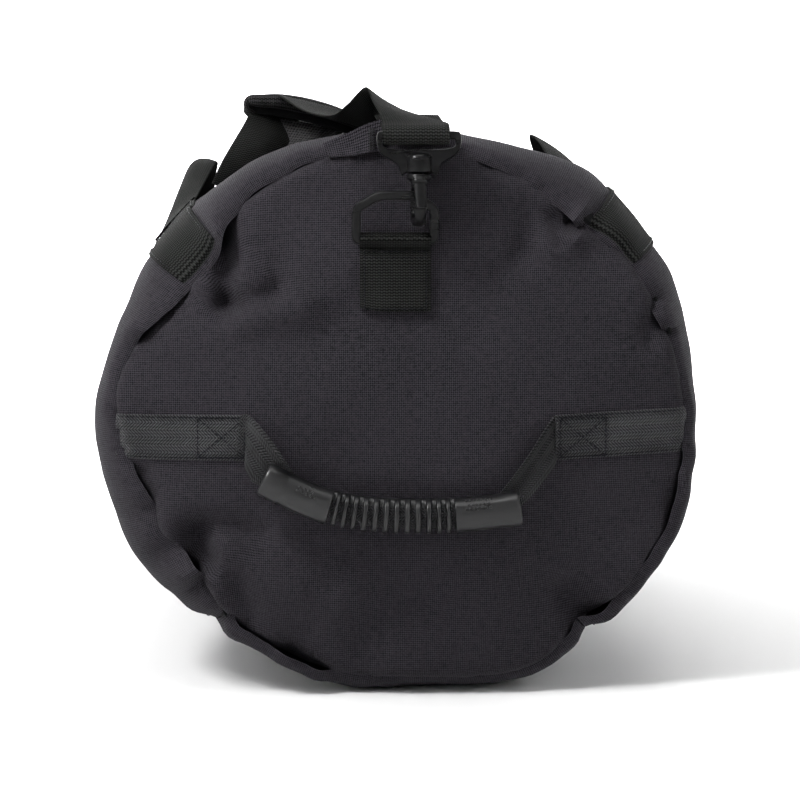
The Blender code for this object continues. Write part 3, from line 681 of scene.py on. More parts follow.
COIL = plastic_material("zip_coil_nylon", (0.012, 0.012, 0.0125), 0.42)
METAL = metal_material("painted_zip_metal", (0.035, 0.035, 0.037), 0.35)
PAD_MESH = mesh_material("air_mesh", (0.006, 0.006, 0.006), (0.08, 0.078, 0.08))


# ---------------------------------------------------------------- the sewn shell


def add_panels():
    """Two sides and a base, each a closed sheet from end seam to end seam."""
    steps = (0.0, 0.0002, 0.0007, 0.0015, 0.0026, 0.0042, 0.0075, 0.011, 0.0155, 0.021)
    ys = [-SHOULDER_END + step for step in steps]
    ys += spread(-0.281, 0.281, 112) + [-y for y in reversed(ys)]
    right, left = BASE_SEAMS[0], BASE_SEAMS[1]
    for name, low, high, count, node in (
        ("side_cloth_right", right + 0.15, PANEL_TOP, 118, "side_panel_right"),
        ("side_cloth_left", 180 - PANEL_TOP, left - 0.15, 118, "side_panel_left"),
        ("base_cloth", left + 0.15 - 360, right - 0.15, 60, "base_panel"),
    ):
        cloth = Shape().layer(shell, spread(low, high, count), ys, -0.002, 0)
        make(name, cloth, FABRIC, "bag_fabric", "bag", [node])
    for side, seam in (("right", right), ("left", left)):
        tape = Shape().layer(shell, spread(seam - 2.2, seam + 2.2, 5), ys[7:-7], -0.0042, -0.0028)
        make(f"inner_tape_{side}", tape, TAPE, "binding", "bag", [f"base_seam_tape_{side}"])


def add_ends():
    """The two stuffed round panels, each folding in to its seam."""
    reaches = [1.0, 0.9996, 0.998, 0.995, 0.99, 0.983, 0.974, 0.963, 0.948] + spread(0.93, 0.02, 80)
    turns = spread(0, 360, 300)[:-1]

    def point(turn, reach, offset):
        seam = looked_up(SEAM_RADII, turn)
        angle = math.radians(turn)
        radius = (seam - PANEL_INSET) * reach
        return end_face(radius * math.cos(angle), AXIS_HEIGHT + radius * math.sin(angle), offset)

    shape = Shape()
    for offset in (0, -0.002):
        rows = [[point(turn, reach, offset) for turn in turns] for reach in reaches]
        start = shape.grid(rows, [0.0] * (len(turns) + 1), [0.0] * len(rows), closed=True)
        last = start + (len(rows) - 1) * len(turns)
        shape.cap(range(last, last + len(turns)))
    layer = len(reaches) * len(turns)
    for i in range(len(turns)):
        j = (i + 1) % len(turns)
        shape.faces.append((i, j, j + layer, i + layer))
        shape.uvs.append(((0, 0),) * 4)
    count, places = len(turns), [None] * len(shape.points)
    for side in range(2):
        for k, turn in enumerate(turns):
            column = [side * layer + i * count + k for i in range(len(reaches))][::-1]
            length = math.hypot(shape.points[column[0]].x, shape.points[column[0]].z - AXIS_HEIGHT)
            for here, there in zip(column, column[1:] + [None]):
                angle = math.radians(turn)
                places[here] = (length * math.cos(angle), length * math.sin(angle))
                if there is not None:
                    length += (shape.points[there] - shape.points[here]).length
    shape.uvs = [tuple(places[i] for i in face) for face in shape.faces]
    at_both_ends("{}_end_cloth", shape, FABRIC, "bag_fabric", "bag", ["{}_end_panel"])
    ys = spread(-HALF_LENGTH + 0.004, -HALF_LENGTH + 0.014, 4)
    binding = Shape().layer(shell, spread(0, 359.5, 90), ys, -0.0046, -0.003)
    at_both_ends("{}_inner_binding", binding, TAPE, "binding", "bag", ["{}_seam_binding"])


def zip_degrees(x):
    """Where round the barrel this x of the zip lies."""
    return 90 - math.degrees(math.atan2(x, 0.17))


def add_zip():
    """Tapes, interlocking coils, end stops, and two sliders with pulls."""
    ys = spread(-0.301, 0.301, 120)
    for side, mirror in SIDES:
        xs = [mirror * x for x in spread(0.0024, 0.02, 8)]

        def tape_face(x, y, offset):
            inward = min(1.0, abs(x) / 0.017)
            return shell(zip_degrees(x), y, offset - 0.0016 + 0.0006 * inward)

        tape = Shape().layer(tape_face, xs, ys, -0.0004, 0.0004)
        make(f"zip_cloth_{side}", tape, TAPE, "zip_coil", "bag", [f"zip_tape_{side}"])
        coil, pitch = Shape(), 0.0024
        for i in range(int(0.6 / pitch)):
            y = -0.3 + pitch * (i + (0.5 if mirror < 0 else 0.0))
            top = shell(90, y).z - 0.0006
            path = [(mirror * x, y + dy, top + z) for x, dy, z in (
                (0.005, 0.0, 0.0002), (0.002, 0.0, 0.001), (0.0004, 0.0002, 0.0009),
                (-0.0001, 0.0004, 0.0001))]
            coil.sweep(path, rounded(rounded_oval(0.00045, 0.0005, 6)), (0, 1, 0))
        make(f"zip_coils_{side}", coil, COIL, "zip_coil", "bag", [f"zip_teeth_{side}"])
        lip = Shape()
        edge = [shell(90 - mirror * (90 - PANEL_TOP - 0.1), y, 0.0002) for y in ys]
        lip.sweep(edge, rounded(rounded_oval(0.001, 0.0019, 10)), (1, 0, 0))
        make(f"zip_hem_{side}", lip, FABRIC, "bag_fabric", "bag")
    y = -HALF_LENGTH + 0.0055
    ends = [shell(zip_degrees(x), y, 0.0012) for x in spread(-0.015, 0.015, 9)]
    stop = Shape().sweep(ends, rounded(webbing_section(0.0075, 0.0016)), (0, 1, 0))
    at_both_ends("{}_zip_end_tab", stop, WEBBING_FINISH, "webbing", "bag", ["{}_zip_stop"])
    lip = Shape().ribbon(mm((
        ((-40, -308.5, 313.5), (-37, -313, 306)),
        ((-26, -310, 319.5), (-24, -315.5, 307)),
        ((-17, -310.5, 324), (-16, -316, 308.5)),
        ((-6.2, -311, 327.6), (-9, -316, 309.5)),
    )), 0.0024, 6, [0.0, 0.0015, 0.0015, 0.0])
    at_both_ends("{}_zip_fold", lip, FABRIC, "bag_fabric", "bag")
    zigzag = Shape()
    for k in range(9):
        z = 0.31 + 0.0014 * k
        y = -0.3174 + 0.00036 * (9 * k / 8)
        path = [(-0.0148, y, z), (-0.013, y - 0.0008, z + 0.0003), (-0.0112, y, z + 0.0006)]
        zigzag.sweep(path, rounded(rounded_oval(0.0004, 0.0004, 6)), (0, 0, 1))
    at_both_ends("{}_zip_zigzag", zigzag, BAND_FINISH, "webbing", "bag")
    for end, turn in ENDS:
        add_slider(end, turn)


def add_slider(end, turn):
    """A cast slider on the coils, and its pull lying flat."""
    y, top = 0.018 * turn, 0.325
    body = Shape()
    for part in (-1, 1):
        body.sweep(
            [(part * 0.003, y - 0.0078, top + 0.003), (part * 0.0034, y, top + 0.0033),
             (part * 0.003, y + 0.0078, top + 0.003)],
            lambda i: rounded_oval((0.0011, 0.0013, 0.0011)[i], (0.0026, 0.0031, 0.0026)[i], 12, 3),
            (1, 0, 0),
        )
    bridge = smooth_path([(0, y - 0.0066, top + 0.0034), (0, y - 0.004, top + 0.0066),
                          (0, y + 0.004, top + 0.0066), (0, y + 0.0066, top + 0.0034)], 5)
    body.sweep(bridge, rounded(rounded_oval(0.0009, 0.0015, 12, 3)), (1, 0, 0))
    make(f"zip_slider_{end}_cast", body, METAL, "zip_metal", f"zip_slider_{end}",
         [f"zip_slider_{end}"])
    hinge = Vector((0, y + turn * 0.0095, top + 0.0056))
    pull = Shape()
    outline = mm(((1, 3), (1.4, 3.6), (9, 4), (20, 4.8), (28, 5), (32, 4), (33.8, 1.8)))
    steps = smooth_values([s for s, _ in outline], 4)
    widths = smooth_values([w for _, w in outline], 4)
    path = [hinge + Vector((0, turn * (s - 0.004), 0)) for s in steps]
    pull.sweep(path, lambda i: rounded_oval(0.0009, widths[i], 16, 4), (1, 0, 0))
    loop = [hinge + Vector((0.003 * math.sin(t), turn * (-0.0016 + 0.002 * math.cos(t)), 0))
            for t in spread(0, math.tau, 17)[:-1]]
    pull.sweep(loop, rounded(rounded_oval(0.0008, 0.0008, 8)), (0, 0, 1), closed=True)
    for k in (0.012, 0.015, 0.018, 0.021, 0.024):
        bar = [hinge + Vector((x, turn * k, 0.0008)) for x in (-0.0032, 0.0032)]
        pull.sweep(bar, rounded(rounded_oval(0.0006, 0.0006, 8)), (0, 1, 0))
    make(f"zip_pull_{end}_cast", pull, METAL, "zip_metal", f"zip_pull_{end}", [f"zip_pull_{end}"])


# ---------------------------------------------------------------- webbing


def add_lengthwise_webbing():
    """Webbing along the barrel from each end seam to the carry handles' roots."""
    half = math.degrees(STRAP_WIDTH / 2 / WEBBING_RADIUS)
    for side, middle in (("right", WEBBING_TURN), ("left", 180 - WEBBING_TURN)):
        turns = spread(middle - half, middle + half, 15)
        for end, turn in ENDS:
            ys = sorted(turn * y for y in spread(CARRY_HALF_SPAN, 0.281, 40)
                        + [0.285, 0.289, 0.293, 0.297, 0.3, 0.303, 0.305, 0.3065, 0.3073])
            lengths = [[turn * y for y in ys], [i * STRAP_WIDTH / 14 for i in range(15)]]
            strip = Shape().layer(shell, turns, ys, 0.0003, 0.0017, lengths)
            strip.uvs = [tuple((v, u) for u, v in face) for face in strip.uvs]
            make(f"strip_{side}_{end}", strip, WEBBING_FINISH, "webbing", "bag",
                 [f"webbing_{side}_{end}"])


def carry_anchor(side):
    """A carry handle's root on the webbing, the way up the barrel from it, and the way out."""
    wide, tall, power = 0.1775, 0.17, 2 / 2.2
    turn = math.radians(41.0 if side == "right" else 139.0)
    x = wide * math.copysign(abs(math.cos(turn)) ** power, math.cos(turn))
    z = AXIS_HEIGHT + tall * math.sin(turn) ** power
    out = Vector((x / wide**2, 0, (z - AXIS_HEIGHT) / tall**2)).normalized()
    tangent = Vector((-out.z, 0, out.x)) if side == "right" else Vector((out.z, 0, -out.x))
    return Vector((x, 0, z)) + out * 0.0011, tangent, out


def add_carry_handles():
    """Each loop is two halves of webbing, sewn down at its root and free in the middle."""
    for side, lean, lift, body in (
        ("right", 0.05, 0.0185, "right_carry_handle"), ("left", 0.032, 0.015, "left_carry_handle"),
    ):
        narrowing, curl = (0.06, 0.0015) if side == "right" else (0.36, 0.0085)
        anchor, tangent, out = carry_anchor(side)

        def place(part):
            arch = 0.5 + 0.5 * math.cos(math.pi * part)
            along = Vector((0, part * (CARRY_HALF_SPAN - 0.0005), 0))
            sag = noise.noise(Vector((part * 2.3, lean * 90, 1.7))) * 0.0016 * arch
            return anchor + along + tangent * lean * arch + out * (lift * arch + sag)

        def across(part):
            arch = 0.5 + 0.5 * math.cos(math.pi * part)
            tip = math.radians(13 * arch)
            return tangent * math.cos(tip) - out * math.sin(tip)

        for end, turn in ENDS:
            parts = [turn * part for part in spread(1.03, 0.0, 44)]
            edges, bows = [], []
            for part in parts:
                arch = eased(1.15 - abs(part))
                half = across(part) * STRAP_WIDTH / 2 * (1 - narrowing * arch)
                edges.append((place(part) - half, place(part) + half))
                bows.append(curl * arch * (-turn if side == "right" else turn))
            ribbon = Shape().ribbon(edges, WEBBING, 1, bows)
            nodes = [f"carry_root_{side}_{end}"] + ([f"carry_handle_{side}"] if turn < 0 else [])
            half = make(f"carry_loop_{side}_{end}", ribbon, WEBBING_FINISH, "webbing", None, nodes)
            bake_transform(half)


def add_bands():
    """Twill bands across the end panel, from the end seam to the roots of the end handle."""
    for side, low, high, lift in (
        ("left", -0.1588, -0.0815, 0.0), ("right", 0.0898, 0.1672, 0.0032),
    ):
        xs, zs = spread(low, high, 34), spread(-BAND_HALF, BAND_HALF, 12)

        def face(x, dz, offset, low=low, high=high, lift=lift):
            slope = lift * (x - low) / (high - low)
            curl = 0.001 * bump(abs(dz) - BAND_HALF, 0.0018)
            return end_face(x, BAND_HEIGHT + dz + slope, offset - curl)

        band = Shape().layer(face, xs, zs, 0.0002, 0.0018, [zs, xs])
        at_both_ends("{}_band_cloth_" + side, band, BAND_FINISH, "webbing", "bag",
                     ["{}_band_" + side])


def stitches(shape, line, pitch=0.003, length=0.0022, thick=0.0003):
    """Short raised threads along a line of (point, outward direction) pairs."""
    marks = running([point for point, _ in line])
    count, k = max(1, int(marks[-1] / pitch)), 0
    for i in range(count):
        middle = (i + 0.5) * marks[-1] / count
        while marks[k + 1] < middle and k < len(marks) - 2:
            k += 1
        (a, up_a), (b, up_b) = line[k], line[k + 1]
        part = (middle - marks[k]) / max(marks[k + 1] - marks[k], 1e-9)
        centre, up = a.lerp(b, part), up_a.lerp(up_b, part).normalized()
        along = (b - a).normalized()
        path = [centre + along * length * s + up * thick * h
                for s, h in ((-0.5, -0.6), (-0.28, 0.55), (0.0, 0.8), (0.28, 0.55), (0.5, -0.6))]
        shape.sweep(path, rounded(rounded_oval(thick, thick, 5)), along.cross(up))


def end_line(points, offset, count=40):
    """A line on the front end panel through (x, z) points, with its outward directions."""
    line = []
    for (x1, z1), (x2, z2) in zip(points, points[1:]):
        for i in range(count):
            x, z = x1 + (x2 - x1) * i / count, z1 + (z2 - z1) * i / count
            line.append((end_face(x, z, offset), Vector((0, -1, 0))))
    x, z = points[-1]
    return line + [(end_face(x, z, offset), Vector((0, -1, 0)))]


def add_end_stitching():
    """Rows along the bands, a crossed box at each handle root, and the tab's box."""
    threads = Shape()
    for low, high, lift, inner in ((-0.157, -0.083, 0.0, -1), (0.091, 0.1655, 0.0032, 1)):
        for z in (BAND_HEIGHT - 0.0113, BAND_HEIGHT + 0.0113):
            stitches(threads, end_line([(low, z), (high, z + lift)], 0.0019))
        near = (high - 0.0015) if inner < 0 else (low + 0.0015)
        far, foot, top = near + inner * 0.0265, 0.1382, 0.16
        box = [(near, foot), (far, foot), (far, top), (near, top), (near, foot)]
        for line in (box, [(near, foot), (far, top)], [(far, foot), (near, top)]):
            stitches(threads, end_line(line, 0.002, 14))
    side, foot, top = 0.0172, 0.2215, 0.2535
    box = [(-side, foot), (-side, top), (side, top), (side, foot), (-side, foot)]
    for line in (box, [(-side, 0.25), (side, 0.25)]):
        stitches(threads, end_line(line, 0.0044, 12))
    at_both_ends("{}_end_stitching", threads, THREAD, "webbing", "bag")


def add_barrel_stitching():
    """Double rows beside the base seams and the zip, and rows on the lengthwise webbing."""
    threads = Shape()

    def row(degrees, low, high, offset):
        line = []
        for y in spread(low, high, 150):
            point = shell(degrees, y, offset)
            line.append((point, Vector((point.x, 0, point.z - AXIS_HEIGHT)).normalized()))
        stitches(threads, line, 0.0038, 0.0028)

    for mirror in (1, -1):
        for step in (1.6, 3.4):
            degrees = 90 - mirror * (90 - PANEL_TOP + step)
            row(degrees, -0.295, 0.295, 0.0002)
        seam = BASE_SEAMS[0] if mirror > 0 else BASE_SEAMS[1]
        row(seam + mirror * 1.6, -0.3, 0.3, 0.0002)
        middle = 90 - mirror * (90 - WEBBING_TURN)
        half = math.degrees((STRAP_WIDTH / 2 - 0.0022) / WEBBING_RADIUS)
        for low, high in ((-0.3, -0.118), (0.118, 0.3)):
            for edge in (-half, half):
                row(middle + edge, low, high, 0.0019)
            for y in (-0.12, -0.158) if low < 0 else (0.12, 0.158):
                cross = [(shell(t, y, 0.0019), shell(t, y, 1) - shell(t, y))
                         for t in spread(middle - half, middle + half, 10)]
                stitches(threads, cross, 0.0034, 0.0025)
    make("barrel_stitching", threads, THREAD, "webbing", "bag")


# ---------------------------------------------------------------- the end handle


GRIP_LINE = mm((
    (-73.5, 128.5), (-49.5, 116.6), (-28.4, 110.2), (-2.3, 107.2), (24.4, 107), (46.7, 108.5),
    (69.2, 111.4),
))
GRIP_ACROSS, GRIP_ALONG = 0.009, 0.0096
# A raised dot, as radius and height, from its foot to its top.
DOT = mm(((0.9, -0.4), (0.85, 0.4), (0.6, 0.8), (0.2, 0.9)))


def grip_middle(part):
    """The grip's middle line: it hangs lower towards its right end."""
    place = (min(max(part, -1.0), 1.0) + 1) * 3
    k = min(int(place), 5)
    t = place - k
    near = [GRIP_LINE[min(max(k + i, 0), 6)] for i in (-1, 0, 1, 2)]
    x, z = (catmull(*values, t) for values in zip(*near))
    return Vector((x, end_base_y(0, 0.119) - 0.0125, z))


def end_base_y(x, z):
    """The front panel's plain curve, without its folds."""
    half, below = 0.166, 0.1477
    up = (z - AXIS_HEIGHT) / (half if z > AXIS_HEIGHT else below)
    return -(END_FACE + END_BULGE * max(0.0, 1 - (x / half) ** 2 - up**2))


def add_grip():
    """A moulded grip: smooth sleeves at its ends, ribs between, and small raised dots."""
    low, high, ribs = -0.48, 0.47, 13
    parts = [-1.0, -0.997, -0.985, -0.96, -0.9, -0.84, -0.832, -0.826, -0.818, -0.75, -0.66, -0.55]
    parts += spread(low, high, ribs * 18 + 1)
    parts += [0.54, 0.6, 0.68, 0.772, 0.78, 0.786, 0.794, 0.86, 0.93, 0.965, 0.985, 0.997, 1.0]
    path = [grip_middle(part) for part in parts]

    def section(i):
        part = parts[i]
        tip = max(0.0, (abs(part) - 0.965) / 0.035)
        scale = 1 - 0.13 * tip**2
        scale += 0.03 * max(0.0, abs(part) - 0.55)
        if -0.833 < part < -0.817 or 0.771 < part < 0.795:
            scale *= 0.965
        cut = 0.0
        if low < part < high:
            wave = 0.5 - 0.5 * math.cos(math.tau * ribs * (part - low) / (high - low))
            cut = eased((wave - 0.36) / 0.3)
        pairs = []
        for a, b in rounded_oval(GRIP_ACROSS * scale, GRIP_ALONG * scale, 28, 2.2):
            front = 0.5 + 0.5 * (a * 0.85 - b * 0.55) / math.hypot(a, b)
            depth = 0.52 * cut * min(1.0, max(0.0, front * 2.6 - 0.9))
            pairs.append((a * (1 - depth), b * (1 - depth)))
        return pairs

    grip = Shape().sweep(path, section, (0, 0, 1))
    turns = spread(0, math.tau, 9)[:-1]
    for start, stop, count in ((-0.735, -0.6, 5), (0.545, 0.74, 7)):
        for row, b in enumerate((0.0036, 0.0058, 0.0078)):
            for k in range(count - row % 2):
                part = start + (stop - start) * (k + 0.5 * (row % 2)) / (count - 1)
                bulk = 1 + 0.03 * (abs(part) - 0.55)
                out = GRIP_ACROSS * math.sqrt(1 - (b / GRIP_ALONG) ** 2) * bulk
                base = grip_middle(part) + Vector((0, -out - 0.00005, b))
                rows = []
                for radius, height in DOT:
                    rows.append([
                        base + Vector((radius * math.cos(t), -height, radius * math.sin(t)))
                        for t in turns
                    ])
                first = grip.grid(rows, [0.0] * 9, [0.0] * 4, closed=True)
                grip.cap(range(first + 24, first + 32))
                grip.cap(range(first + 7, first - 1, -1))
    at_both_ends("{}_grip_moulding", grip, RUBBER, "moulded_plastic", "{}_handle", ["{}_grip"],
                 smooth=50)


# Both edges of the webbing from each band down into the grip, left and then right.
FLAPS = mm((
    (((-89.3, -326.2, 138.6), (-87, -326.2, 161.8)),
     ((-84.2, -326.2, 138.2), (-82.5, -326.2, 161.8)),
     ((-83.7, -333, 133), (-77, -331.5, 157.5)), ((-80, -338, 126.3), (-67, -339, 146)),
     ((-72.8, -339.5, 123.1), (-59.8, -341.2, 135.2)), ((-62.2, -340, 119.7), (-54.3, -340, 128))),
    (((95.9, -325.2, 139.1), (95.8, -325.2, 162.5)),
     ((91.1, -325.5, 138.7), (91, -325.5, 162.5)), ((88.2, -333, 133), (85, -331.5, 156)),
     ((80.9, -338, 124), (73.4, -339.2, 139.5)), ((73, -339.5, 115), (65, -341.2, 128.4)),
     ((61, -340, 106), (56.2, -340, 117))),
))


def add_handle_webbing():
    """Webbing that folds down from each band and gathers into the grip, and runs through it."""
    shape = Shape()
    bows = (0, 0.0002, -0.0016, -0.003, -0.003, 0)
    for mirror, edges in zip((1, -1), FLAPS):
        shape.ribbon(edges, 0.0018, 9, [mirror * bow for bow in bows])
    inside = [grip_middle(part) for part in spread(-0.985, 0.985, 60)]
    shape.sweep(inside, rounded(rounded_oval(0.0062, 0.007, 20)), (0, 0, 1))
    for (end, turn), form in zip(ENDS, (shape, shape.turned())):
        webbing = make(f"{end}_handle_fold", form, FLAP_FINISH, "webbing", None,
                       [f"{end}_handle_webbing"])
        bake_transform(webbing)


# ---------------------------------------------------------------- D-ring and hook


BAR = Vector((0, -0.327156, 0.2597))
HOOK = Vector((0.0127, -0.340156, 0.3173))


def add_tab():
    """The folded webbing tab, rolled round the bar of the D-ring."""
    heights = spread(0.22, 0.25, 16)
    path = [end_face(0, z, 0.0011) for z in heights]
    for turn in spread(0, 180, 13):
        angle = math.radians(turn)
        path.append(BAR + Vector((0, 0.0036 * math.cos(angle), 0.0036 * math.sin(angle))))
    path += [end_face(0, z, 0.0015 + 0.0003) for z in (0.2556, 0.2538)]
    path += [end_face(0, z, 0.0032 + 0.001 * bump(z - 0.248, 0.004)) for z in reversed(heights)]
    columns = spread(-STRAP_WIDTH / 2 - 0.0008, STRAP_WIDTH / 2 + 0.0008, 17)
    last = len(path) - 1

    def face(i, x, offset):
        here = path[i]
        tangent = (path[min(i + 1, last)] - path[max(i - 1, 0)]).normalized()
        out = Vector((1, 0, 0)).cross(tangent)
        drop = end_face(x, here.z).y - end_face(0, here.z).y if here.z < 0.2506 else 0.0
        bow = 0.0
        if here.z < 0.232:
            bow = 0.0042 * max(0.0, -x / 0.0198 - 0.25) ** 2 * (0.232 - here.z) / 0.012
        return here + Vector((x, drop, bow)) + out * offset

    rows = list(range(last + 1))
    tab = Shape().layer(face, rows, columns, -0.0007, 0.0007, [columns, running(path)])
    at_both_ends("{}_ring_tab", tab, WEBBING_FINISH, "webbing", "bag", ["{}_dring_tab"])


def rounded_loop(corners, radius, steps=5):
    """A closed loop of (a, b) corners with each corner rounded off."""
    loop = []
    for before, here, after in zip(corners[-1:] + corners[:-1], corners, corners[1:] + corners[:1]):
        before, here, after = Vector(before), Vector(here), Vector(after)
        near = min(radius, (before - here).length * 0.45)
        far = min(radius, (after - here).length * 0.45)
        a = here + (before - here).normalized() * near
        b = here + (after - here).normalized() * far
        for i in range(steps + 1):
            t = i / steps
            loop.append(a * (1 - t) ** 2 + here * 2 * t * (1 - t) + b * t**2)
    return loop


def add_ring():
    """A flat moulded D: a straight bar, upright legs and a sloping-shouldered arch."""
    corners = mm(((-21.8, 0), (-21.8, 20.5), (-9.8, 28.6), (9, 28.6), (21.4, 20), (21.4, 0)))
    lean = Vector((0, -math.sin(math.radians(30)), math.cos(math.radians(30))))
    path = [BAR + Vector((x, 0, 0)) + lean * h for x, h in rounded_loop(corners, 0.0034)]
    side = Vector((1, 0, 0)).cross(lean)
    ring = Shape().sweep(path, rounded(rounded_oval(0.0026, 0.0019, 20, 3.6)), side, closed=True)
    at_both_ends("{}_ring_moulding", ring, PLASTIC, "moulded_plastic", "{}_dring", ["{}_dring"],
                 smooth=60, weld=True)


def add_hook_frame():
    """The strap frame: a bar across, flanks that sweep in to the swivel barrel, and small lugs."""
    outer = mm((
        (0, 2.2), (12, 2.3), (20.5, 2.2), (23, 0.8), (23.4, -3.8), (22.2, -8.6), (19, -11.8),
        (15, -14), (11.8, -16.6), (10.4, -20.4), (9.2, -22.2), (7.2, -20.6), (0, -19.6),
    ))
    inner = mm((
        (0, -2), (11, -2), (18.6, -2.2), (20, -3.4), (20, -5.2), (19, -6.4), (16.6, -7.2),
        (13.4, -7.6), (10.4, -7.8), (8.6, -7.9), (6.6, -8), (4, -8), (0, -8),
    ))
    rings = []
    for outline in (outer, inner):
        full = outline + tuple((-x, z) for x, z in reversed(outline[1:-1]))
        full = [Vector((x, z, 0)) for x, z in full]
        closed = full[-2:] + full + full[:2]
        smooth = smooth_path(closed, 4)
        rings.append(smooth[8:-8])
    count, rows = len(rings[0]) - 1, []
    depth, edge = 0.0022, 0.0006
    for i in range(count + 1):
        a, b = rings[0][i % count], rings[1][i % count]
        way = (b - a).normalized() * min(edge, (b - a).length * 0.3)
        row = []
        for point, d in ((a + way * 0.2, -depth + edge), (a, 0), (a + way * 0.2, depth - edge),
                         (a + way, depth), (b - way, depth), (b - way * 0.2, depth - edge), (b, 0),
                         (b - way * 0.2, -depth + edge), (b - way, -depth), (a + way, -depth)):
            row.append(HOOK + Vector((point.x, d, point.y)))
        rows.append(row)
    plate = Shape()
    lengths = [i * 0.001 for i in range(count + 1)]
    plate.grid(rows, lengths[:11], lengths, closed=True)
    plate.revolve(HOOK, mm((
        (2, -9.4), (4.6, -9.8), (6.2, -10.8), (7, -12.6), (7.1, -15), (7.1, -19.6), (6.6, -20.3),
        (6.2, -20.5), (3.4, -20.5),
    )))
    at_both_ends("{}_frame_moulding", plate, PLASTIC, "moulded_plastic", "{}_hook_frame",
                 ["{}_hook_frame"], smooth=45, weld=True)


def add_hook():
    """The swivelling hook with its collar, and the sprung gate."""
    body = Shape().revolve(HOOK, mm((
        (2.6, -20), (5.6, -20.9), (6.5, -21.6), (6.8, -22.8), (6.5, -24), (5.4, -24.7),
        (4.6, -26.2), (3, -29),
    )))
    reach = 0.0112
    limb = [(0.0, -0.0235), (0.0012, -0.025), (0.0045, -0.0275), (0.0088, -0.0305),
            (reach, -0.0345), (reach, -0.041)]
    for i in range(1, 7):
        angle = math.pi * i / 6
        limb.append((reach * math.cos(angle), -0.041 - reach * 0.58 * math.sin(angle)))
    limb.append((-reach, -0.0398))
    path = smooth_path([HOOK + Vector((0, y, z)) for y, z in limb], 6)
    last = len(path) - 1

    def section(i):
        part = i / last
        thick = 0.0025 + 0.0009 * max(0.0, 0.25 - part) * 4
        width = 0.0043 - 0.0017 * bump(part - 0.8, 0.12)
        close = min(1.0, (last - i) / 5 + 0.45)
        return rounded_oval(thick * close, width * close, 20, 2.7)

    body.sweep(path, section, (1, 0, 0))
    at_both_ends("{}_hook_moulding", body, PLASTIC, "moulded_plastic", "{}_hook", ["{}_hook"],
                 smooth=50)
    top = HOOK + Vector((0, -0.007, -0.0262))
    foot = HOOK + Vector((0.001, -reach, -0.0402))
    spine = smooth_path([top + Vector((0, 0.0016, 0.003)), top, top.lerp(foot, 0.35),
                         top.lerp(foot, 0.8), foot], 6)
    gate = Shape().sweep(
        spine, lambda i: rounded_oval(0.0017, 0.0036 - 0.0006 * i / len(spine), 16, 2.6), (1, 0, 0))
    knuckle = [top + Vector((x, 0, 0)) for x in (-0.0042, -0.0038, 0.0038, 0.0042)]
    gate.sweep(knuckle, lambda i: rounded_oval((0.0012, 0.0018, 0.0018, 0.0012)[i],
                                               (0.0012, 0.0018, 0.0018, 0.0012)[i], 16), (0, 0, 1))
    at_both_ends("{}_gate_moulding", gate, PLASTIC, "moulded_plastic", "{}_hook_gate",
                 ["{}_hook_gate"], smooth=50)


# ---------------------------------------------------------------- shoulder strap and pad


PAD_X, PAD_TOP, PAD_SLOPE = -0.051, 0.3417, math.radians(13)
STRAP_ON_PAD = 0.0026


def pad_point(u, y, offset):
    """A point across and along the tilted pad, at this height off its top."""
    across = Vector((math.cos(PAD_SLOPE), 0, -math.sin(PAD_SLOPE)))
    up = Vector((math.sin(PAD_SLOPE), 0, math.cos(PAD_SLOPE)))
    return Vector((PAD_X, y, PAD_TOP)) + across * u + up * offset


# Both edges of the strap from the frame's bar, over its twisted peak, towards the pad.
STRAP_RISE = mm((
    ((-7.1, -337, 324), (28.3, -334, 324)),
    ((-9.1, -328, 330.5), (20.1, -318, 327.1)),
    ((-12.3, -316, 337.2), (7.5, -292, 332.3)),
    ((-15.4, -300, 345.3), (-3.4, -264, 337.2)),
    ((-20.4, -286, 343.2), (-6.1, -254, 326.2)),
    ((-26.7, -268, 337.5), (-10.6, -238, 324.5)),
    ((-36, -242, 332.5), (-15, -213, 326.2)),
    ((-52, -206, 337), (-24, -190, 332)),
))


def across_bar(bar, turns, toward):
    """Edge pairs of webbing that wraps a frame's bar."""
    wrapped = []
    for angle in map(math.radians, turns):
        out = Vector((0, toward * math.cos(angle), math.sin(angle)))
        wrapped.append(level(bar + out * WRAP))
    return wrapped


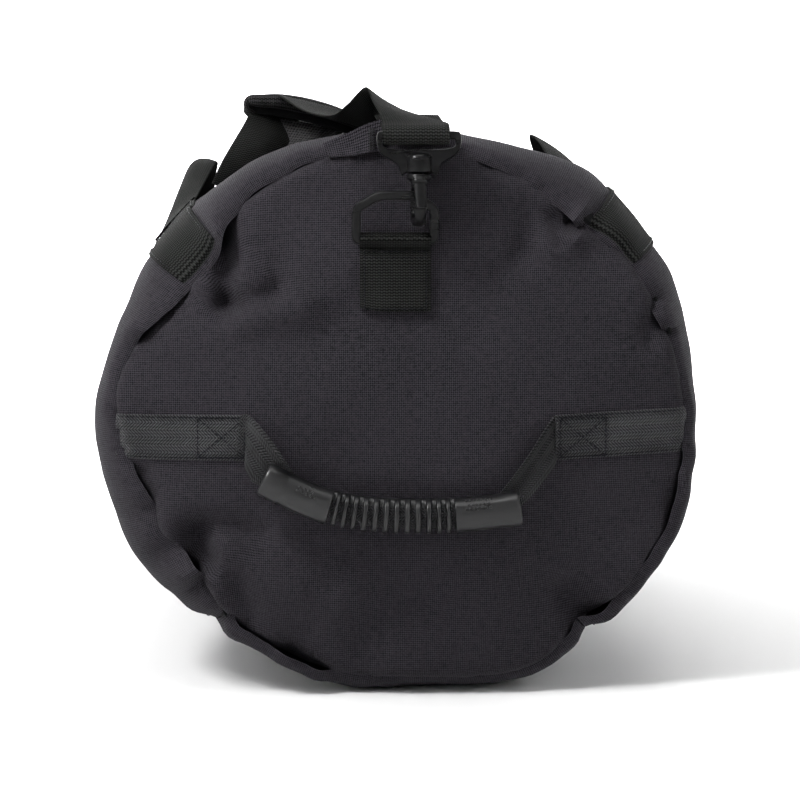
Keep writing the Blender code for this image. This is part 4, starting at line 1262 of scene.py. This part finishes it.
def add_strap():
    """The shoulder strap round both frame bars, its hanging tail, and the pad's loose lining."""
    front = HOOK + Vector((-0.0016, 0, 0))
    rear = Vector((-front.x, -front.y, front.z))
    edges = [level(front + Vector((-0.004, 0.04, 0.0125))), level(front + Vector((0, 0.02, 0.004))),
             level(front + Vector((0, 0.0064, -0.003)))]
    edges += across_bar(front, (-80, -30, 20, 70), -1) + list(STRAP_RISE)
    on_pad = [(-0.166, 0.0024), (-0.143, 0.0022), (-0.125, 0.0024)]
    on_pad += [(y, STRAP_ON_PAD) for y in (-0.08, 0.0, 0.08, 0.15, 0.2, 0.235)]
    for y, lift in on_pad:
        edges.append((pad_point(-STRAP_HALF, y, lift), pad_point(STRAP_HALF, y, lift)))
    edges += [level((-0.042, 0.27, 0.343)), level(rear + Vector((-0.006, -0.03, 0.015))),
              level(rear + Vector((-0.0005, -0.006, 0.0062)))]
    edges += across_bar(rear, (75, 20, -30, -80), 1)
    edges += [level(rear + Vector((0, -0.0064, -0.002))),
              level(rear + Vector((-0.003, -0.02, 0.006))), level((-0.033, 0.278, 0.3395))]
    strap = Shape().ribbon(edges, WEBBING, 9)
    make("strap_webbing", strap, WEBBING_FINISH, "webbing", "bag", ["shoulder_strap"])
    tail = Shape().ribbon(mm((
        ((-86, -140, 344), (-56.4, -130, 337.5)),
        ((-90.5, -152, 333), (-61, -139, 326)),
        ((-96, -165, 322.2), (-66.4, -150, 316)),
        ((-104, -180, 306.9), (-78.7, -160, 301.5)),
        ((-109.5, -195, 293), (-87.2, -170, 287)),
    )), WEBBING, 8, [0, 0.001, 0.002, 0.002, 0])
    make("strap_tail_webbing", tail, WEBBING_FINISH, "webbing", "bag", ["strap_tail"])
    lining = Shape().ribbon(mm((
        ((-80, -138, 337), (-18, -138, 326.2)),
        ((-83.5, -146, 324.5), (-30, -146, 320)),
        ((-89, -156, 311), (-44, -156, 312)),
        ((-95, -168, 293), (-60, -168, 299)),
    )), 0.0024, 10, [0.0, -0.003, -0.003, 0])
    make("pad_lining_flap", lining, PAD_MESH, "pad_fabric", "bag")


def add_pad():
    """A foam pad in air-mesh, crowned between its bound edges, with two keepers."""
    half, low, high = 0.039, -0.146, 0.116

    def fullness(u, y):
        near = max(0.0, 1 - (u / half) ** 2)
        end = max(0.0, min(1.0, (y - low) / 0.012, (high - y) / 0.012))
        channels = 0.0007 * math.cos(u / half * math.pi * 4)
        full = (0.62 + 0.38 * math.sqrt(near)) * (0.55 + 0.45 * math.sqrt(end))
        return full, channels * near * end

    def face(u, y, offset):
        full, channels = fullness(u, y)
        sag = noise.noise(Vector((u * 20, y * 14, 2.5))) * 0.001
        along = abs((y - low) / (high - low) * 2 - 1)
        corner = max(0.0, abs(u) / half - 0.8) * max(0.0, along - 0.92)
        top = -2.2 * u * u - 0.1 * corner
        if offset > -0.004:
            return pad_point(u, y, top - (1 - full) * 0.0045 + channels + sag)
        return pad_point(u, y, top - 0.008 + (1 - full) * 0.004 + sag)

    us, ys = spread(-half, half, 41), spread(low, high, 110)
    pad = Shape().layer(face, us, ys, -0.008, 0.0)
    cushion = make("shoulder_pad_cushion", pad, PAD_MESH, "pad_fabric", "shoulder_pad",
                   ["shoulder_pad"])
    rim = rounded_loop([(-half, low), (half, low), (half, high), (-half, high)], 0.012, 6)
    dense = []
    for (u1, y1), (u2, y2) in zip(rim, rim[1:] + rim[:1]):
        steps = max(1, int(math.hypot(u2 - u1, y2 - y1) / 0.006))
        dense += [(u1 + (u2 - u1) * i / steps, y1 + (y2 - y1) * i / steps) for i in range(steps)]
    path = [pad_point(u, y, -2.2 * u * u - 0.004) for u, y in dense]
    ways = [(pad_point(0, 0, 1) - pad_point(0, 0, 0))] * len(path)
    edge = Shape().sweep(path, rounded(rounded_oval(0.0016, 0.0046, 14, 2.4)), ways, closed=True)
    make("pad_edge_binding", edge, TAPE, "binding", "shoulder_pad", weld=True)
    hem_line = mm((
        (-85, -144, 339.5), (-88.5, -146, 342.5), (-87.5, -148, 346.2), (-81, -149, 346.2),
        (-68, -149.5, 345.8), (-52, -150, 343), (-36, -150, 338.8), (-22, -149, 333.5),
        (-11, -147, 329),
    ))
    radii = smooth_values(mm((2.2, 3.6, 4.2, 4.8, 5.6, 6, 5.6, 4.8, 3)), 7)
    folds = [1 + 0.09 * noise.noise(Vector((i * 0.31, 4.4, 0))) for i in range(len(radii))]
    hem = Shape().sweep(
        smooth_path(hem_line, 7),
        lambda i: rounded_oval(radii[i] * 0.85, radii[i] * folds[i], 18, 2.2), (0, 1, 0))
    roll = make("pad_end_roll", hem, PAD_CLOTH, "pad_fabric", "shoulder_pad")
    for end, y in (("front", -0.125), ("rear", 0.095)):
        outline = mm((
            (-27, 0.4), (-22.8, 0.6), (-21.6, 2.2), (-19.6, 3.6), (0, 4.2), (19.6, 3.6),
            (21.6, 2.2), (22.8, 0.6), (27, 0.4),
        ))
        path = smooth_path([pad_point(u, y, w) for u, w in outline], 4)
        keeper = Shape().sweep(path, rounded(webbing_section(0.0165, 0.0011)), (0, 1, 0))
        make(f"keeper_{end}_webbing", keeper, WEBBING_FINISH, "webbing", "shoulder_pad",
             [f"pad_keeper_{end}"])
    threads = Shape()
    up = pad_point(0, 0, 1) - pad_point(0, 0, 0)
    for u in (-half + 0.005, half - 0.005):
        line = [(face(u, y, 0) + up * 0.0003, up) for y in spread(low + 0.006, high - 0.006, 80)]
        stitches(threads, line, 0.0036, 0.0026)
    make("pad_stitching", threads, THREAD, "webbing", "shoulder_pad")


def add_adjuster():
    """A moulded three-bar slider that the strap runs over and under."""
    y, half, clear, bar = 0.185, 0.0222, 0.0013, 0.0021
    across = (pad_point(1, 0, 0) - pad_point(0, 0, 0))
    up = (pad_point(0, 0, 1) - pad_point(0, 0, 0))
    shape = Shape()
    widths, depths = (0.003, 0.0034, 0.0034, 0.003), (0.0019, 0.0022, 0.0022, 0.0019)
    steps = (-0.013, -0.0124, 0.0124, 0.013)
    for side in (-1, 1):
        path = [pad_point(side * half, y + step, STRAP_ON_PAD) for step in steps]
        shape.sweep(path, lambda i: rounded_oval(widths[i], depths[i], 16, 4), across)
    for d, low in ((-0.0103, -clear - bar), (0.0103, -clear - bar), (0.0, clear)):
        middle = STRAP_ON_PAD + low + bar / 2
        path = [pad_point(u, y + d, middle) for u in (-half, half)]
        shape.sweep(path, rounded(rounded_oval(0.0026, bar / 2, 16, 3.5)), up)
    make("adjuster_moulding", shape, PLASTIC, "moulded_plastic", "strap_adjuster",
         ["strap_adjuster"], smooth=50)


# ---------------------------------------------------------------- stage, light and camera


def add_stage():
    """A pale floor that curves up all round into a backdrop."""
    profile = [(0.001, 0.0), (1.5, 0.0), (3.4, 0.0)]
    for i in range(1, 11):
        angle = math.pi / 2 * i / 10
        profile.append((3.4 + 1.8 * math.sin(angle), 1.8 * (1 - math.cos(angle))))
    profile.append((5.2, 4.5))
    turns = spread(0, math.tau, 65)[:-1]
    rows = [[Vector((r * math.cos(t), r * math.sin(t), h - 0.0006)) for t in turns]
            for r, h in profile]
    shape = Shape()
    shape.grid(rows, [0.0] * 65, [0.0] * len(rows), closed=True)
    mesh = bpy.data.meshes.new("studio_floor")
    mesh.from_pydata(shape.points, [], shape.faces)
    mesh.shade_smooth()
    mesh.materials.append(Nodes("studio_white", (0.9,) * 3, 1.0, Specular_IOR_Level=0.0).material)
    floor = bpy.data.objects.new("studio_floor", mesh)
    bpy.context.scene.collection.objects.link(floor)


def aim(obj, place, target):
    """Puts a light or camera in place, facing its target."""
    obj.location = place
    obj.rotation_euler = (Vector(target) - Vector(place)).to_track_quat("-Z", "Y").to_euler()
    bpy.context.scene.collection.objects.link(obj)


def add_light(name, place, target, size, power):
    """A rectangular area light; sizes in metres, power in watts."""
    light = bpy.data.lights.new(name, "AREA")
    light.shape = "RECTANGLE"
    light.size, light.size_y = size
    light.energy = power
    aim(bpy.data.objects.new(name, light), place, target)


def add_studio():
    """Soft studio lights, white backdrop lights, and the camera at the photograph's angle."""
    world = bpy.data.worlds.new("studio")
    bpy.context.scene.world = world
    world.use_nodes = True
    world.node_tree.nodes["Background"].inputs["Color"].default_value = (1, 1, 1, 1)
    world.node_tree.nodes["Background"].inputs["Strength"].default_value = 0.08
    add_light("key", (-0.72, -0.86, 1.12), (-0.04, -0.25, 0.22), (0.36, 0.36), 13.5)
    add_light("overhead", (0.1, -0.9, 1.75), (0, -0.25, 0.15), (1.3, 0.28), 7)
    add_light("top", (0.1, 0.3, 2.4), (0, 0.1, 0.2), (1.6, 1.8), 14)
    add_light("backdrop_left", (-1.7, 1.6, 2.6), (-0.8, 5.0, 0.6), (1.5, 1.5), 250)
    add_light("backdrop_right", (1.7, 1.6, 2.6), (0.8, 5.0, 0.6), (1.5, 1.5), 250)
    camera = bpy.data.cameras.new("camera")
    camera.lens = 99
    camera.sensor_width = 36
    seen = bpy.data.objects.new("camera", camera)
    aim(seen, (-0.03, -1.555, 0.27), (0.003, -0.31, 0.169))
    bpy.context.scene.camera = seen
    bpy.context.scene.view_settings.view_transform = "Standard"
    bpy.context.scene.view_settings.look = "Medium High Contrast"


add_panels()
add_ends()
add_zip()
add_lengthwise_webbing()
add_carry_handles()
add_bands()
add_end_stitching()
add_barrel_stitching()
add_grip()
add_handle_webbing()
add_tab()
add_ring()
add_hook_frame()
add_hook()
add_strap()
add_pad()
add_adjuster()
add_stage()
add_studio()
bpy.context.view_layer.update()
